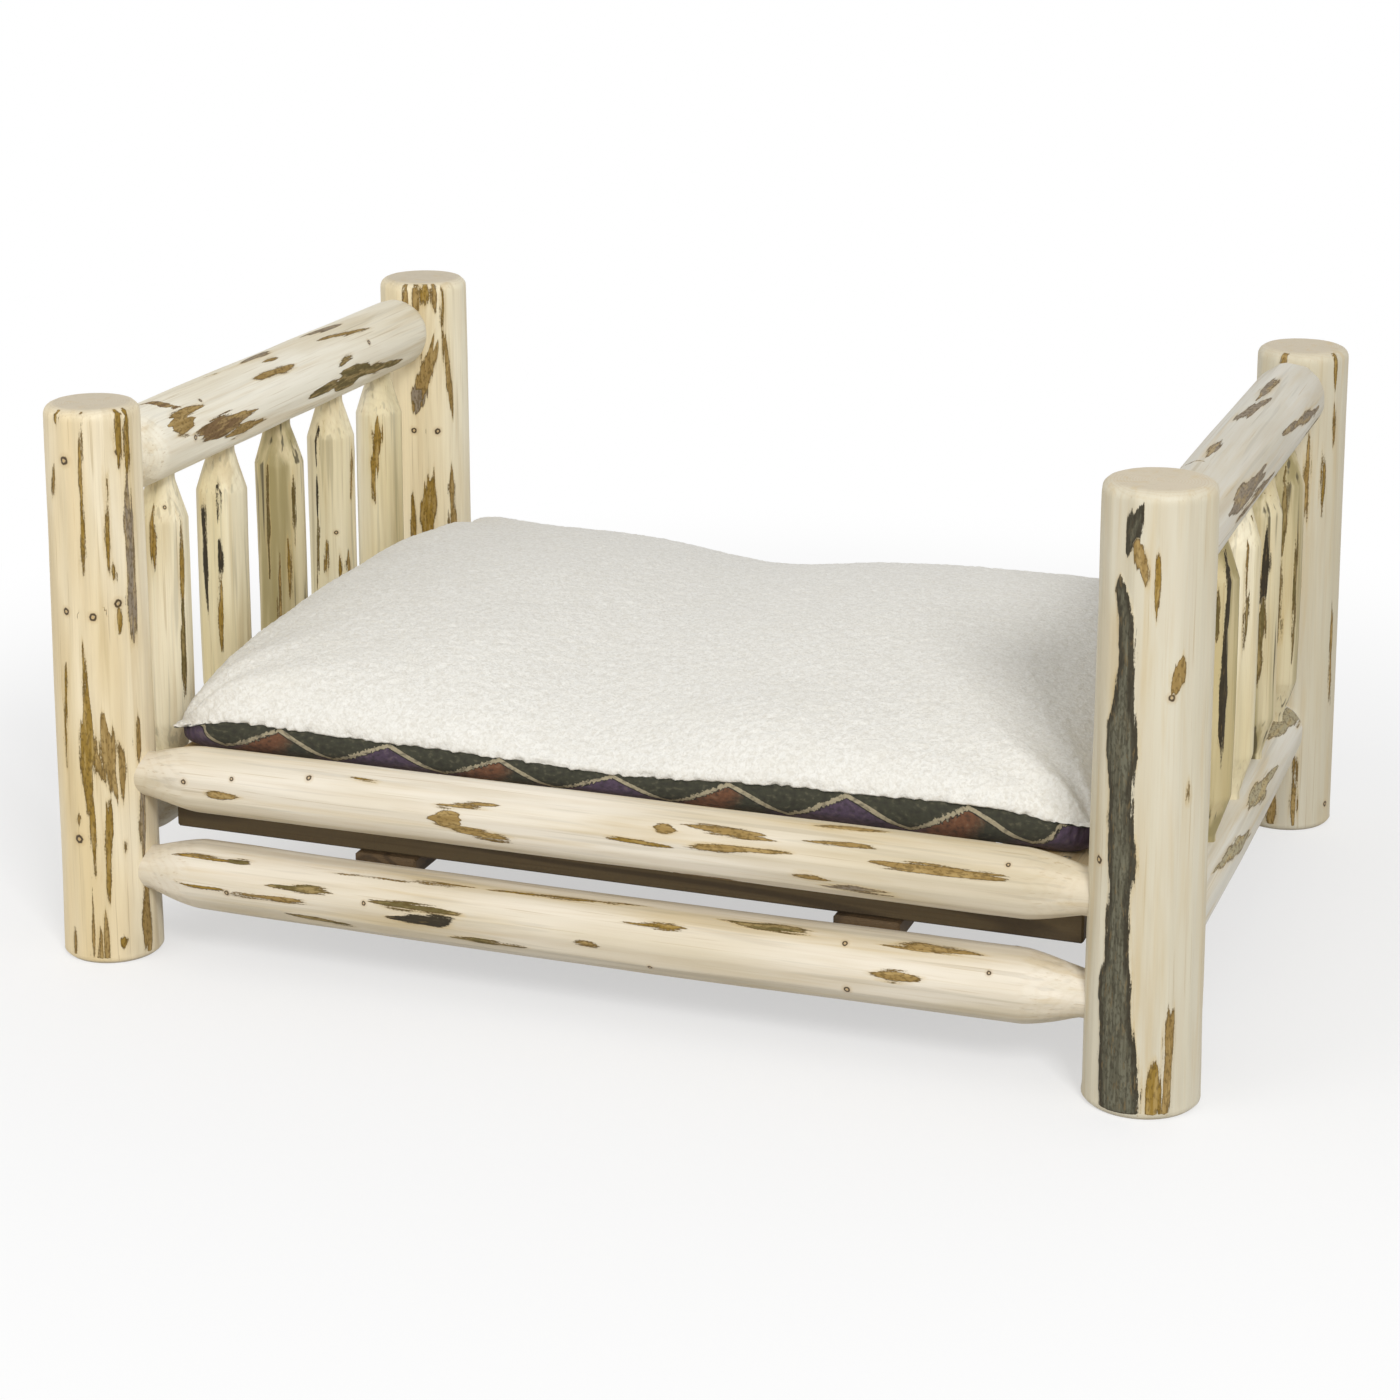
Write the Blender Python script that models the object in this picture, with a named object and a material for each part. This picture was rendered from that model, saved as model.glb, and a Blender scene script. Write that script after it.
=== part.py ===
"""Rustic log dog bed: peeled log frame, whittled spindles, slatted deck and a loose fleece cushion.

Metres, +Z up. The headboard stands at -X, the footboard at +X and the open front at -Y.
The origin is on the floor, in the middle of the four posts.
"""

import math

import bmesh
import bpy
import numpy as np
from mathutils import Matrix, Vector

# Layout of the four posts, centre to centre
POST_SPACING_LENGTH = 1.040
POST_SPACING_WIDTH = 0.770

# Corner posts: four logs that taper upwards, each with its own height and diameter at the foot
FRONT_LEFT_HEIGHT, FRONT_LEFT_DIAMETER = 0.559, 0.098
FRONT_RIGHT_HEIGHT, FRONT_RIGHT_DIAMETER = 0.569, 0.107
BACK_LEFT_HEIGHT, BACK_LEFT_DIAMETER = 0.548, 0.107
BACK_RIGHT_HEIGHT, BACK_RIGHT_DIAMETER = 0.536, 0.102
POST_TAPER = 0.006
POST_TOP_CHAMFER = 0.010
POST_FOOT_CHAMFER = 0.004

# Rails of the headboard and the footboard
TOP_RAIL_HEIGHT = 0.495
HEAD_TOP_RAIL_DIAMETER = 0.081
FOOT_TOP_RAIL_DIAMETER = 0.075
TOP_RAIL_TENON_DIAMETER = 0.046
TOP_RAIL_SHOULDER = 0.030
BOTTOM_RAIL_HEIGHT = 0.126
BOTTOM_RAIL_DIAMETER = 0.060
BOTTOM_RAIL_TENON_DIAMETER = 0.038
BOTTOM_RAIL_SHOULDER = 0.036

# Spindles between those rails
SPINDLE_COUNT = 5
SPINDLE_DIAMETER = 0.053
SPINDLE_TENON_DIAMETER = 0.028
SPINDLE_TENON_DEPTH = 0.026
SPINDLE_SHOULDER = 0.040

# Long side rails
UPPER_RAIL_HEIGHT = 0.1875
UPPER_RAIL_DIAMETER = 0.065
LOWER_RAIL_HEIGHT = 0.0905
LOWER_RAIL_DIAMETER = 0.069
SIDE_TENON_DIAMETER = 0.044
SIDE_SHOULDER = 0.052

# Round tenons: how deep they sit in a post and how much neck shows outside it
POST_TENON_DEPTH = 0.036
NECK_REVEAL = 0.003
TENON_CHAMFER = 0.002

# Ledgers screwed to a flat planed on the inner side of each upper rail
RAIL_FLAT_DEPTH = 0.007
LEDGER_THICKNESS = 0.028
LEDGER_HEIGHT = 0.057
LEDGER_TOP_DROP = 0.005
LEDGER_END_GAP = 0.008

# Cross battens under the ledgers, let into the lower rails
BATTEN_WIDTH = 0.064
BATTEN_THICKNESS = 0.019
BATTEN_SPACING = 0.486
BATTEN_SHIFT = 0.014
BATTEN_BEARING = 0.016

# Deck slats
SLAT_WIDTH = 0.089
SLAT_THICKNESS = 0.018
SLAT_LEAST_GAP = 0.012
DECK_END_GAP = 0.004
SLAT_END_GAP = 0.003
BOARD_EDGE_BEVEL = 0.002

# Cushion: fleece top and printed base sewn together around a fibre filling
CUSHION_END_GAP = 0.002
CUSHION_SIDE_GAP = 0.004
CUSHION_SEAM_RISE = 0.028
CUSHION_CROWN = 0.086
CUSHION_CORNER = 0.030
CUSHION_DRAW_IN = 0.012
CUSHION_FALL = 0.055
CUSHION_SLOPE = 0.009
CUSHION_DIP = 0.015
CUSHION_DIP_PLACE = -0.038
CUSHION_DIP_SPREAD = 0.105
BASE_FLAT_SHARE = 0.90
FLEECE_THICKNESS = 0.008
PRINT_THICKNESS = 0.002

# Screws
SCREW_SHANK_DIAMETER = 0.005
SCREW_HEAD_DIAMETER = 0.011
SCREW_HEAD_HEIGHT = 0.003
SCREW_GRIP = 0.022
SCREW_CROWN_SHARE = 0.6
SCREW_TIP_SHARE = 0.3
SCREWS_PER_LEDGER = 4
LEDGER_SCREW_MARGIN = 0.060
LEDGER_SCREW_DROP = 0.010

# Clearance between pieces that fit or rest on each other
CLEARANCE = 0.0003

# Fineness and hand work
POST_SIDES = 16
RAIL_SIDES = 14
SPINDLE_SIDES = 10
SCREW_SIDES = 10
POST_FACET = 0.022
RAIL_FACET = 0.045
SPINDLE_FACET = 0.070
RAIL_BOW = 0.0025
SPINDLE_BOW = 0.0015
FACET_SIDE_TURN = 2.4
FACET_DRIFT_TURN = 1.7
FACET_ROW_TURN = 0.9
FACET_SEED_TURN = 2.3
FACET_FIXED_SHARE = 0.6
BOW_SEED_TURN = 2.1
SHOULDER_STEPS = 3
BODY_STEPS = 6
CORNER_POINTS = 5
LONG_SIDE_POINTS = 7
SHORT_SIDE_POINTS = 5
CUSHION_TOP_RINGS = 10
CUSHION_BASE_RINGS = 5
CROWN_FLATNESS = 11.0
CROWN_FULLNESS = 0.50
SMOOTH_ANGLE = math.radians(40)

# Finishes: linear colour and roughness
LOG_COLOUR, LOG_ROUGHNESS = (0.80, 0.70, 0.50), 0.55
BOARD_COLOUR, BOARD_ROUGHNESS = (0.62, 0.47, 0.29), 0.65
STEEL_COLOUR, STEEL_ROUGHNESS = (0.62, 0.61, 0.58), 0.35
FLEECE_COLOUR = (0.77, 0.76, 0.70)
FIBRE_COLOUR, SOFT_ROUGHNESS = (0.85, 0.85, 0.83), 0.95
PRINT_COLOUR, PRINT_ROUGHNESS = (0.05, 0.05, 0.045), 0.85

HALF_LENGTH = POST_SPACING_LENGTH / 2
HALF_WIDTH = POST_SPACING_WIDTH / 2
WIDEST_POST_RADIUS = max(FRONT_LEFT_DIAMETER, FRONT_RIGHT_DIAMETER,
                         BACK_LEFT_DIAMETER, BACK_RIGHT_DIAMETER) / 2
UPPER_FLAT_OFFSET = UPPER_RAIL_DIAMETER / 2 - RAIL_FLAT_DEPTH
LEDGER_TOP = UPPER_RAIL_HEIGHT - LEDGER_TOP_DROP
LEDGER_BOTTOM = LEDGER_TOP - LEDGER_HEIGHT
LEDGER_HALF = HALF_LENGTH - WIDEST_POST_RADIUS - LEDGER_END_GAP
LEDGER_FACE = HALF_WIDTH - UPPER_FLAT_OFFSET - CLEARANCE
BATTEN_TOP = LEDGER_BOTTOM - CLEARANCE
BATTEN_BOTTOM = BATTEN_TOP - BATTEN_THICKNESS
DECK_BOTTOM = LEDGER_TOP + CLEARANCE
DECK_TOP = DECK_BOTTOM + SLAT_THICKNESS
CUSHION_BASE = DECK_TOP + CLEARANCE
CUSHION_SEAM = CUSHION_BASE + CUSHION_SEAM_RISE


def plain_material(name, colour, roughness):
    """Plain Principled finish."""
    material = bpy.data.materials.new(name)
    material.use_nodes = True
    shader = material.node_tree.nodes["Principled BSDF"]
    shader.inputs["Base Color"].default_value = (*colour, 1.0)
    shader.inputs["Roughness"].default_value = roughness
    return material


def steel_material(name, colour, roughness):
    """Bright metal finish for the screws."""
    material = plain_material(name, colour, roughness)
    material.node_tree.nodes["Principled BSDF"].inputs["Metallic"].default_value = 1.0
    return material


def axis_matrix(centre, axis):
    """Frame whose local Z runs along the world axis X, Y or Z."""
    columns = {"X": ((0, 1, 0), (0, 0, 1), (1, 0, 0)),
               "Y": ((0, 0, 1), (1, 0, 0), (0, 1, 0)),
               "Z": ((1, 0, 0), (0, 1, 0), (0, 0, 1))}[axis]
    turn = Matrix(columns).transposed().to_4x4()
    return Matrix.Translation(Vector(centre)) @ turn


def add_object(name, bm, material, parent, matrix=None):
    """Turn a bmesh into a named, shaded object under its parent."""
    mesh = bpy.data.meshes.new(name)
    bm.to_mesh(mesh)
    bm.free()
    mesh.shade_smooth()
    mesh.set_sharp_from_angle(angle=SMOOTH_ANGLE)
    mesh.materials.append(material)
    obj = bpy.data.objects.new(name, mesh)
    bpy.context.collection.objects.link(obj)
    obj.parent = parent
    if matrix is not None:
        obj.matrix_world = matrix
    return obj


def circle_points(radius, sides):
    """One ring of points, with a flat facing local X."""
    angle = (np.arange(sides) + 0.5) * 2 * math.pi / sides
    return radius * np.stack([np.cos(angle), np.sin(angle)], axis=1)


def add_strip(bm, low, high, low_is_wide):
    """Triangles between two rings, split from the wider ring to the next point of the narrower.

    Two nested skins built this way have parallel facets, so the gap between them stays even.
    """
    count = len(low)
    for k in range(count):
        n = (k + 1) % count
        if low_is_wide:
            corners = ((low[k], low[n], high[n]), (low[k], high[n], high[k]))
        else:
            corners = ((low[k], low[n], high[k]), (low[n], high[n], high[k]))
        for triangle in corners:
            bm.faces.new(triangle)


def add_loft(bm, rings, matrix=None, poles=(None, None)):
    """Skin closed rings of equal counts, given from low to high, and cap both ends.

    A pole is the middle point of a domed cap. Without one the cap is a flat face.
    """
    rows = []
    for ring in rings:
        points = [Vector(point) if matrix is None else matrix @ Vector(point) for point in ring.tolist()]
        rows.append([bm.verts.new(point) for point in points])
    count = len(rows[0])
    widths = [float(np.ptp(ring[:, 0])) for ring in rings]
    for i in range(len(rows) - 1):
        add_strip(bm, rows[i], rows[i + 1], widths[i] >= widths[i + 1])
    for row, pole in ((rows[0][::-1], poles[0]), (rows[-1], poles[1])):
        if pole is None:
            bm.faces.new(tuple(row))
            continue
        middle = bm.verts.new(Vector(pole))
        for k in range(count):
            bm.faces.new((row[k], row[(k + 1) % count], middle))


def facet_pattern(sides, row, seed):
    """Share of the facet depth shaved off each side, from 0 to 1, uneven like drawknife work."""
    side = np.arange(sides)
    fixed = 0.5 + 0.5 * np.sin(FACET_SIDE_TURN * side * side + seed)
    drift = 0.5 + 0.5 * np.sin(FACET_DRIFT_TURN * side + FACET_ROW_TURN * row + FACET_SEED_TURN * seed)
    return FACET_FIXED_SHARE * fixed + (1 - FACET_FIXED_SHARE) * drift


def log_rings(stations, sides, facet, bow, seed):
    """Rings along a log. A station is (place along the log, radius, whether it is peeled body)."""
    first = stations[0][0]
    span = stations[-1][0] - first
    heading = BOW_SEED_TURN * seed
    rings = []
    for row, (place, radius, peeled) in enumerate(stations):
        flat = circle_points(radius, sides)
        if peeled:
            flat = flat * (1 - facet * facet_pattern(sides, row, seed))[:, None]
            sway = bow * math.sin(math.pi * (place - first) / span)
            flat = flat + sway * np.array([math.cos(heading), math.sin(heading)])
        rings.append(np.column_stack([flat, np.full(sides, place)]))
    return rings


def tenon_stations(radius, end, step, tenon_radius, tenon_length, shoulder, rounded):
    """One end of a log, from the tip of its tenon to where the full body starts.

    step is +1 at the low end and -1 at the high end. A rounded shoulder follows a quarter
    sine, a straight one is a cone.
    """
    stations = [(end, tenon_radius - TENON_CHAMFER, False),
                (end + step * TENON_CHAMFER, tenon_radius, False),
                (end + step * tenon_length, tenon_radius, False)]
    for i in range(1, SHOULDER_STEPS + 1):
        share = i / SHOULDER_STEPS
        swell = math.sin(share * math.pi / 2) if rounded else share
        place = end + step * (tenon_length + shoulder * share)
        stations.append((place, tenon_radius + (radius - tenon_radius) * swell, i == SHOULDER_STEPS))
    return stations


def turned_log(radius, low, high, tenon_radius, tenon_lengths, shoulder, rounded):
    """Stations of a log with a tenon at each end and a peeled body between them."""
    start = tenon_stations(radius, low, 1, tenon_radius, tenon_lengths[0], shoulder, rounded)
    finish = tenon_stations(radius, high, -1, tenon_radius, tenon_lengths[1], shoulder, rounded)
    body = np.linspace(start[-1][0], finish[-1][0], BODY_STEPS + 1)[1:-1]
    return start + [(float(place), radius, True) for place in body] + finish[::-1]


def tenon_tip(post_diameter):
    """Distance from a post's centre line to the tip of the tenons in it."""
    return post_diameter / 2 - POST_TENON_DEPTH


def make_cutter(name, bm):
    """A hidden tool body for cutting mortises, notches and pilot holes."""
    mesh = bpy.data.meshes.new(name)
    bm.to_mesh(mesh)
    bm.free()
    cutter = bpy.data.objects.new(name, mesh)
    bpy.context.collection.objects.link(cutter)
    cutter.hide_render = True
    cutter.display_type = "WIRE"
    return cutter


def cut(obj, bm):
    """Cut a tool body out of an object."""
    modifier = obj.modifiers.new("cuts", "BOOLEAN")
    modifier.operation = "DIFFERENCE"
    modifier.solver = "EXACT"
    modifier.object = make_cutter(obj.name + "_cuts", bm)


def add_bore(bm, centre, axis, radius, low, high, sides):
    """A round hole along an axis between two places on it, sized to clear a tenon of that radius."""
    flat = circle_points(radius + CLEARANCE, sides)
    rings = [np.column_stack([flat, np.full(sides, place)]) for place in (low, high)]
    add_loft(bm, rings, axis_matrix(centre, axis))


def add_box(bm, low, high):
    """A closed box between two corners."""
    low, high = Vector(low), Vector(high)
    size = high - low
    place = Matrix.Translation((low + high) / 2) @ Matrix.Diagonal((*size, 1.0))
    bmesh.ops.create_cube(bm, size=1.0, matrix=place)


def make_board(name, low, high, material, parent):
    """A sawn board with its edges eased."""
    bm = bmesh.new()
    add_box(bm, low, high)
    board = add_object(name, bm, material, parent)
    bevel = board.modifiers.new("eased_edges", "BEVEL")
    bevel.width = BOARD_EDGE_BEVEL
    bevel.segments = 1
    return board


def make_post(name, x, y, height, diameter, seed, material, parent):
    """A post standing at one corner, with a mortise for each rail that ends in it."""
    foot = diameter / 2
    places = np.linspace(POST_FOOT_CHAMFER, height - POST_TOP_CHAMFER, BODY_STEPS + 2)[1:]
    stations = [(0.0, foot - POST_FOOT_CHAMFER, False), (POST_FOOT_CHAMFER, foot, False)]
    stations += [(float(z), foot - POST_TAPER / 2 * z / height, True) for z in places]
    stations.append((height, foot - POST_TAPER / 2 - POST_TOP_CHAMFER, False))
    bm = bmesh.new()
    add_loft(bm, log_rings(stations, POST_SIDES, POST_FACET, 0.0, seed))
    post = add_object(name, bm, material, parent, Matrix.Translation((x, y, 0.0)))
    tools = bmesh.new()
    tip = tenon_tip(diameter) - CLEARANCE
    along_x = (-diameter, -tip) if x > 0 else (tip, diameter)
    along_y = (-diameter, -tip) if y > 0 else (tip, diameter)
    for rail_height in (UPPER_RAIL_HEIGHT, LOWER_RAIL_HEIGHT):
        add_bore(tools, (x, y, rail_height), "X", SIDE_TENON_DIAMETER / 2, *along_x, RAIL_SIDES)
    for rail_height, diameter in ((TOP_RAIL_HEIGHT, TOP_RAIL_TENON_DIAMETER),
                                  (BOTTOM_RAIL_HEIGHT, BOTTOM_RAIL_TENON_DIAMETER)):
        add_bore(tools, (x, y, rail_height), "Y", diameter / 2, *along_y, RAIL_SIDES)
    cut(post, tools)


def make_rail(name, centre, axis, span, posts, diameter, tenon_diameter, shoulder, seed, material, parent):
    """A log rail between two posts, given by their diameters, whose centre lines are span apart."""
    low, high = (span / 2 - tenon_tip(post_diameter) for post_diameter in posts)
    tenon_length = POST_TENON_DEPTH + NECK_REVEAL
    stations = turned_log(diameter / 2, -low, high, tenon_diameter / 2,
                          (tenon_length, tenon_length), shoulder, True)
    bm = bmesh.new()
    add_loft(bm, log_rings(stations, RAIL_SIDES, RAIL_FACET, RAIL_BOW, seed))
    return add_object(name, bm, material, parent, axis_matrix(centre, axis))


def spindle_places():
    """Evenly spaced places of the spindles across the width."""
    pitch = POST_SPACING_WIDTH / (SPINDLE_COUNT + 1)
    return [pitch * (i + 1) - HALF_WIDTH for i in range(SPINDLE_COUNT)]


def make_end(side_name, x, posts, top_diameter, seed, material, parent):
    """Headboard or footboard: two rails between its posts and the spindles between the rails."""
    top_under = TOP_RAIL_HEIGHT - top_diameter / 2
    bottom_over = BOTTOM_RAIL_HEIGHT + BOTTOM_RAIL_DIAMETER / 2
    tenon_high = top_under + SPINDLE_TENON_DEPTH
    tenon_low = bottom_over - SPINDLE_TENON_DEPTH
    top_rail = make_rail(side_name + "_top_rail", (x, 0, TOP_RAIL_HEIGHT), "Y", POST_SPACING_WIDTH,
                         posts, top_diameter, TOP_RAIL_TENON_DIAMETER, TOP_RAIL_SHOULDER, seed,
                         material, parent)
    bottom_rail = make_rail(side_name + "_bottom_rail", (x, 0, BOTTOM_RAIL_HEIGHT), "Y",
                            POST_SPACING_WIDTH, posts, BOTTOM_RAIL_DIAMETER, BOTTOM_RAIL_TENON_DIAMETER,
                            BOTTOM_RAIL_SHOULDER, seed + 1, material, parent)
    top_tools = bmesh.new()
    bottom_tools = bmesh.new()
    tenon_length = SPINDLE_TENON_DEPTH + NECK_REVEAL
    for i, y in enumerate(spindle_places()):
        stations = turned_log(SPINDLE_DIAMETER / 2, tenon_low, tenon_high, SPINDLE_TENON_DIAMETER / 2,
                              (tenon_length, tenon_length), SPINDLE_SHOULDER, False)
        bm = bmesh.new()
        add_loft(bm, log_rings(stations, SPINDLE_SIDES, SPINDLE_FACET, SPINDLE_BOW, seed + 2 + i))
        add_object(f"{side_name}_spindle_{i + 1}", bm, material, parent, Matrix.Translation((x, y, 0.0)))
        add_bore(top_tools, (x, y, 0.0), "Z", SPINDLE_TENON_DIAMETER / 2,
                 top_under - SPINDLE_TENON_DEPTH, tenon_high + CLEARANCE, SPINDLE_SIDES)
        add_bore(bottom_tools, (x, y, 0.0), "Z", SPINDLE_TENON_DIAMETER / 2,
                 tenon_low - CLEARANCE, bottom_over + SPINDLE_TENON_DEPTH, SPINDLE_SIDES)
    cut(top_rail, top_tools)
    cut(bottom_rail, bottom_tools)


def ledger_screw_places():
    """Places of the ledger screws along the bed."""
    reach = LEDGER_HALF - LEDGER_SCREW_MARGIN
    return [float(x) for x in np.linspace(-reach, reach, SCREWS_PER_LEDGER)]


def batten_places():
    """Centre of each cross batten along the bed, by the end that it is nearer to."""
    return (("head", BATTEN_SHIFT - BATTEN_SPACING / 2), ("foot", BATTEN_SHIFT + BATTEN_SPACING / 2))


def make_screw(name, tip_matrix, length, material, parent):
    """A screw that points along local +Z, its head resting below the local origin."""
    head = SCREW_HEAD_DIAMETER / 2
    shank = SCREW_SHANK_DIAMETER / 2
    profile = ((-SCREW_HEAD_HEIGHT, head * SCREW_CROWN_SHARE),
               (-SCREW_HEAD_HEIGHT * SCREW_CROWN_SHARE, head), (-CLEARANCE, head), (-CLEARANCE, shank),
               (length - shank, shank), (length, shank * SCREW_TIP_SHARE))
    rings = [np.column_stack([circle_points(radius, SCREW_SIDES), np.full(SCREW_SIDES, place)])
             for place, radius in profile]
    bm = bmesh.new()
    add_loft(bm, rings)
    add_object(name, bm, material, parent, tip_matrix)


def make_side(side_name, sign, posts, seed, log, board, steel, parent):
    """One long side: two rails, the ledger and its screws. sign is -1 at the front, 1 at the back."""
    y = sign * HALF_WIDTH
    upper = make_rail(side_name + "_upper_rail", (0, y, UPPER_RAIL_HEIGHT), "X", POST_SPACING_LENGTH, posts,
                      UPPER_RAIL_DIAMETER, SIDE_TENON_DIAMETER, SIDE_SHOULDER, seed, log, parent)
    lower = make_rail(side_name + "_lower_rail", (0, y, LOWER_RAIL_HEIGHT), "X", POST_SPACING_LENGTH, posts,
                      LOWER_RAIL_DIAMETER, SIDE_TENON_DIAMETER, SIDE_SHOULDER, seed + 1, log, parent)
    screw_height = LEDGER_TOP - LEDGER_SCREW_DROP
    screw_length = LEDGER_THICKNESS + CLEARANCE + SCREW_GRIP
    inner_face = sign * (LEDGER_FACE - LEDGER_THICKNESS)
    flat_low = UPPER_RAIL_HEIGHT - UPPER_RAIL_DIAMETER
    flat_high = UPPER_RAIL_HEIGHT + UPPER_RAIL_DIAMETER
    flat_near = sign * (HALF_WIDTH - UPPER_FLAT_OFFSET)
    flat_far = sign * (HALF_WIDTH - UPPER_RAIL_DIAMETER)
    rail_tools = bmesh.new()
    add_box(rail_tools, (-HALF_LENGTH, min(flat_near, flat_far), flat_low),
            (HALF_LENGTH, max(flat_near, flat_far), flat_high))
    cut(upper, rail_tools)
    outer_face = sign * LEDGER_FACE
    ledger = make_board(side_name + "_ledger",
                        (-LEDGER_HALF, min(inner_face, outer_face), LEDGER_BOTTOM),
                        (LEDGER_HALF, max(inner_face, outer_face), LEDGER_TOP), board, parent)
    rail_holes = bmesh.new()
    ledger_holes = bmesh.new()
    shank = SCREW_SHANK_DIAMETER / 2
    facing = axis_matrix((0, 0, 0), "Y") @ (Matrix.Rotation(math.pi, 4, "X") if sign < 0 else Matrix())
    for i, x in enumerate(ledger_screw_places()):
        place = Matrix.Translation((x, inner_face, screw_height)) @ facing
        make_screw(f"{side_name}_ledger_screw_{i + 1}", place, screw_length, steel, parent)
        low, high = sorted((-sign * LEDGER_THICKNESS, sign * (screw_length + CLEARANCE)))
        for tools in (rail_holes, ledger_holes):
            add_bore(tools, (x, inner_face, screw_height), "Y", shank, low, high, SCREW_SIDES)
    for _, x in batten_places():
        centre = (x, sign * (LEDGER_FACE - LEDGER_THICKNESS / 2), 0.0)
        add_bore(ledger_holes, centre, "Z", shank, LEDGER_BOTTOM - SCREW_GRIP,
                 LEDGER_BOTTOM + SCREW_GRIP + CLEARANCE, SCREW_SIDES)
    cut(upper, rail_holes)
    cut(ledger, ledger_holes)
    notch_tools = bmesh.new()
    notch_near = sign * (batten_half() + CLEARANCE)
    notch_far = sign * (HALF_WIDTH - LOWER_RAIL_DIAMETER)
    for _, x in batten_places():
        half = BATTEN_WIDTH / 2 + CLEARANCE
        add_box(notch_tools, (x - half, min(notch_near, notch_far), BATTEN_BOTTOM - CLEARANCE),
                (x + half, max(notch_near, notch_far), LOWER_RAIL_HEIGHT + LOWER_RAIL_DIAMETER))
    cut(lower, notch_tools)


def batten_half():
    """Half the length of a cross batten, which bears on the inner shoulder of each lower rail."""
    return HALF_WIDTH - LOWER_RAIL_DIAMETER / 2 + BATTEN_BEARING


def make_battens(board, steel, parent):
    """Cross battens let into the lower rails, screwed up into the ledgers."""
    for end_name, x in batten_places():
        batten = make_board("cross_batten_" + end_name,
                            (x - BATTEN_WIDTH / 2, -batten_half(), BATTEN_BOTTOM),
                            (x + BATTEN_WIDTH / 2, batten_half(), BATTEN_TOP), board, parent)
        holes = bmesh.new()
        for side_name, sign in (("front", -1), ("back", 1)):
            y = sign * (LEDGER_FACE - LEDGER_THICKNESS / 2)
            length = BATTEN_THICKNESS + CLEARANCE + SCREW_GRIP
            make_screw(f"batten_screw_{side_name}_{end_name}", Matrix.Translation((x, y, BATTEN_BOTTOM)),
                       length, steel, parent)
            add_bore(holes, (x, y, 0.0), "Z", SCREW_SHANK_DIAMETER / 2, BATTEN_BOTTOM - BATTEN_THICKNESS,
                     BATTEN_TOP + BATTEN_THICKNESS, SCREW_SIDES)
        cut(batten, holes)


def make_deck(board, parent):
    """Slats across the bed, as many as fit between the posts, evenly spaced on the ledgers."""
    deck_half = HALF_LENGTH - WIDEST_POST_RADIUS - DECK_END_GAP
    count = int((2 * deck_half + SLAT_LEAST_GAP) / (SLAT_WIDTH + SLAT_LEAST_GAP))
    reach = deck_half - SLAT_WIDTH / 2
    slat_half = HALF_WIDTH - UPPER_FLAT_OFFSET - SLAT_END_GAP
    for i, x in enumerate(np.linspace(-reach, reach, count)):
        make_board(f"deck_slat_{i + 1}", (x - SLAT_WIDTH / 2, -slat_half, DECK_BOTTOM),
                   (x + SLAT_WIDTH / 2, slat_half, DECK_TOP), board, parent)


def cushion_half_size():
    """Half the cushion's length and width: it drops in between the end rails and the upper rails."""
    end_depth = max(HEAD_TOP_RAIL_DIAMETER, FOOT_TOP_RAIL_DIAMETER, SPINDLE_DIAMETER) / 2
    half_length = HALF_LENGTH - end_depth - CUSHION_END_GAP
    half_width = HALF_WIDTH - UPPER_FLAT_OFFSET - CUSHION_SIDE_GAP
    return half_length, half_width


def cushion_outline(inset):
    """Plan outline of the cushion: a rectangle with round corners, its sides drawn in between them."""
    half_length, half_width = (half - inset for half in cushion_half_size())
    core_length, core_width = half_length - CUSHION_CORNER, half_width - CUSHION_CORNER
    corners = ((core_length, core_width), (-core_length, core_width),
               (-core_length, -core_width), (core_length, -core_width))
    turn = np.linspace(0, math.pi / 2, CORNER_POINTS)
    points = []
    for i, corner in enumerate(corners):
        angle = turn + i * math.pi / 2
        arc = np.array(corner) + CUSHION_CORNER * np.stack([np.cos(angle), np.sin(angle)], axis=1)
        following = i * math.pi / 2 + math.pi / 2
        start = np.array(corners[(i + 1) % 4])
        start = start + CUSHION_CORNER * np.array([math.cos(following), math.sin(following)])
        side_points = LONG_SIDE_POINTS if i % 2 == 0 else SHORT_SIDE_POINTS
        share = np.linspace(0, 1, side_points + 2)[1:-1, None]
        points += [arc, arc[-1] * (1 - share) + start * share]
    x, y = np.concatenate(points).T
    draw_x = CUSHION_DRAW_IN * (1 - (y / half_width) ** 2) * x / half_length
    draw_y = CUSHION_DRAW_IN * (1 - (x / half_length) ** 2) * y / half_width
    return np.stack([x - draw_x, y - draw_y], axis=1)


def crown_height(x, y, share, inset):
    """Height of the upper surface at a share of the way out to the seam.

    The crown is fuller towards the headboard, falls away across the width and has a shallow dip.
    """
    half_width = cushion_half_size()[1]
    swell = (1 - share ** CROWN_FLATNESS) ** CROWN_FULLNESS
    dip = CUSHION_DIP * np.exp(-((x - CUSHION_DIP_PLACE) / CUSHION_DIP_SPREAD) ** 2)
    fall = CUSHION_FALL * (y / half_width) ** 2 + CUSHION_SLOPE * x
    return CUSHION_SEAM + CLEARANCE / 2 + (CUSHION_CROWN - inset - dip - fall) * swell


def crown_rings(inset):
    """Rings of the upper surface, from the seam to just short of the middle, inset from the outside."""
    outline = cushion_outline(inset)
    rings = []
    for i in range(CUSHION_TOP_RINGS):
        share = math.cos(math.pi / 2 * i / CUSHION_TOP_RINGS)
        flat = outline * share
        rings.append(np.column_stack([flat, crown_height(*flat.T, share, inset)]))
    return rings


def crown_pole(inset):
    """Middle point of the upper surface."""
    return (0.0, 0.0, float(crown_height(0.0, 0.0, 0.0, inset)))


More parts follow.
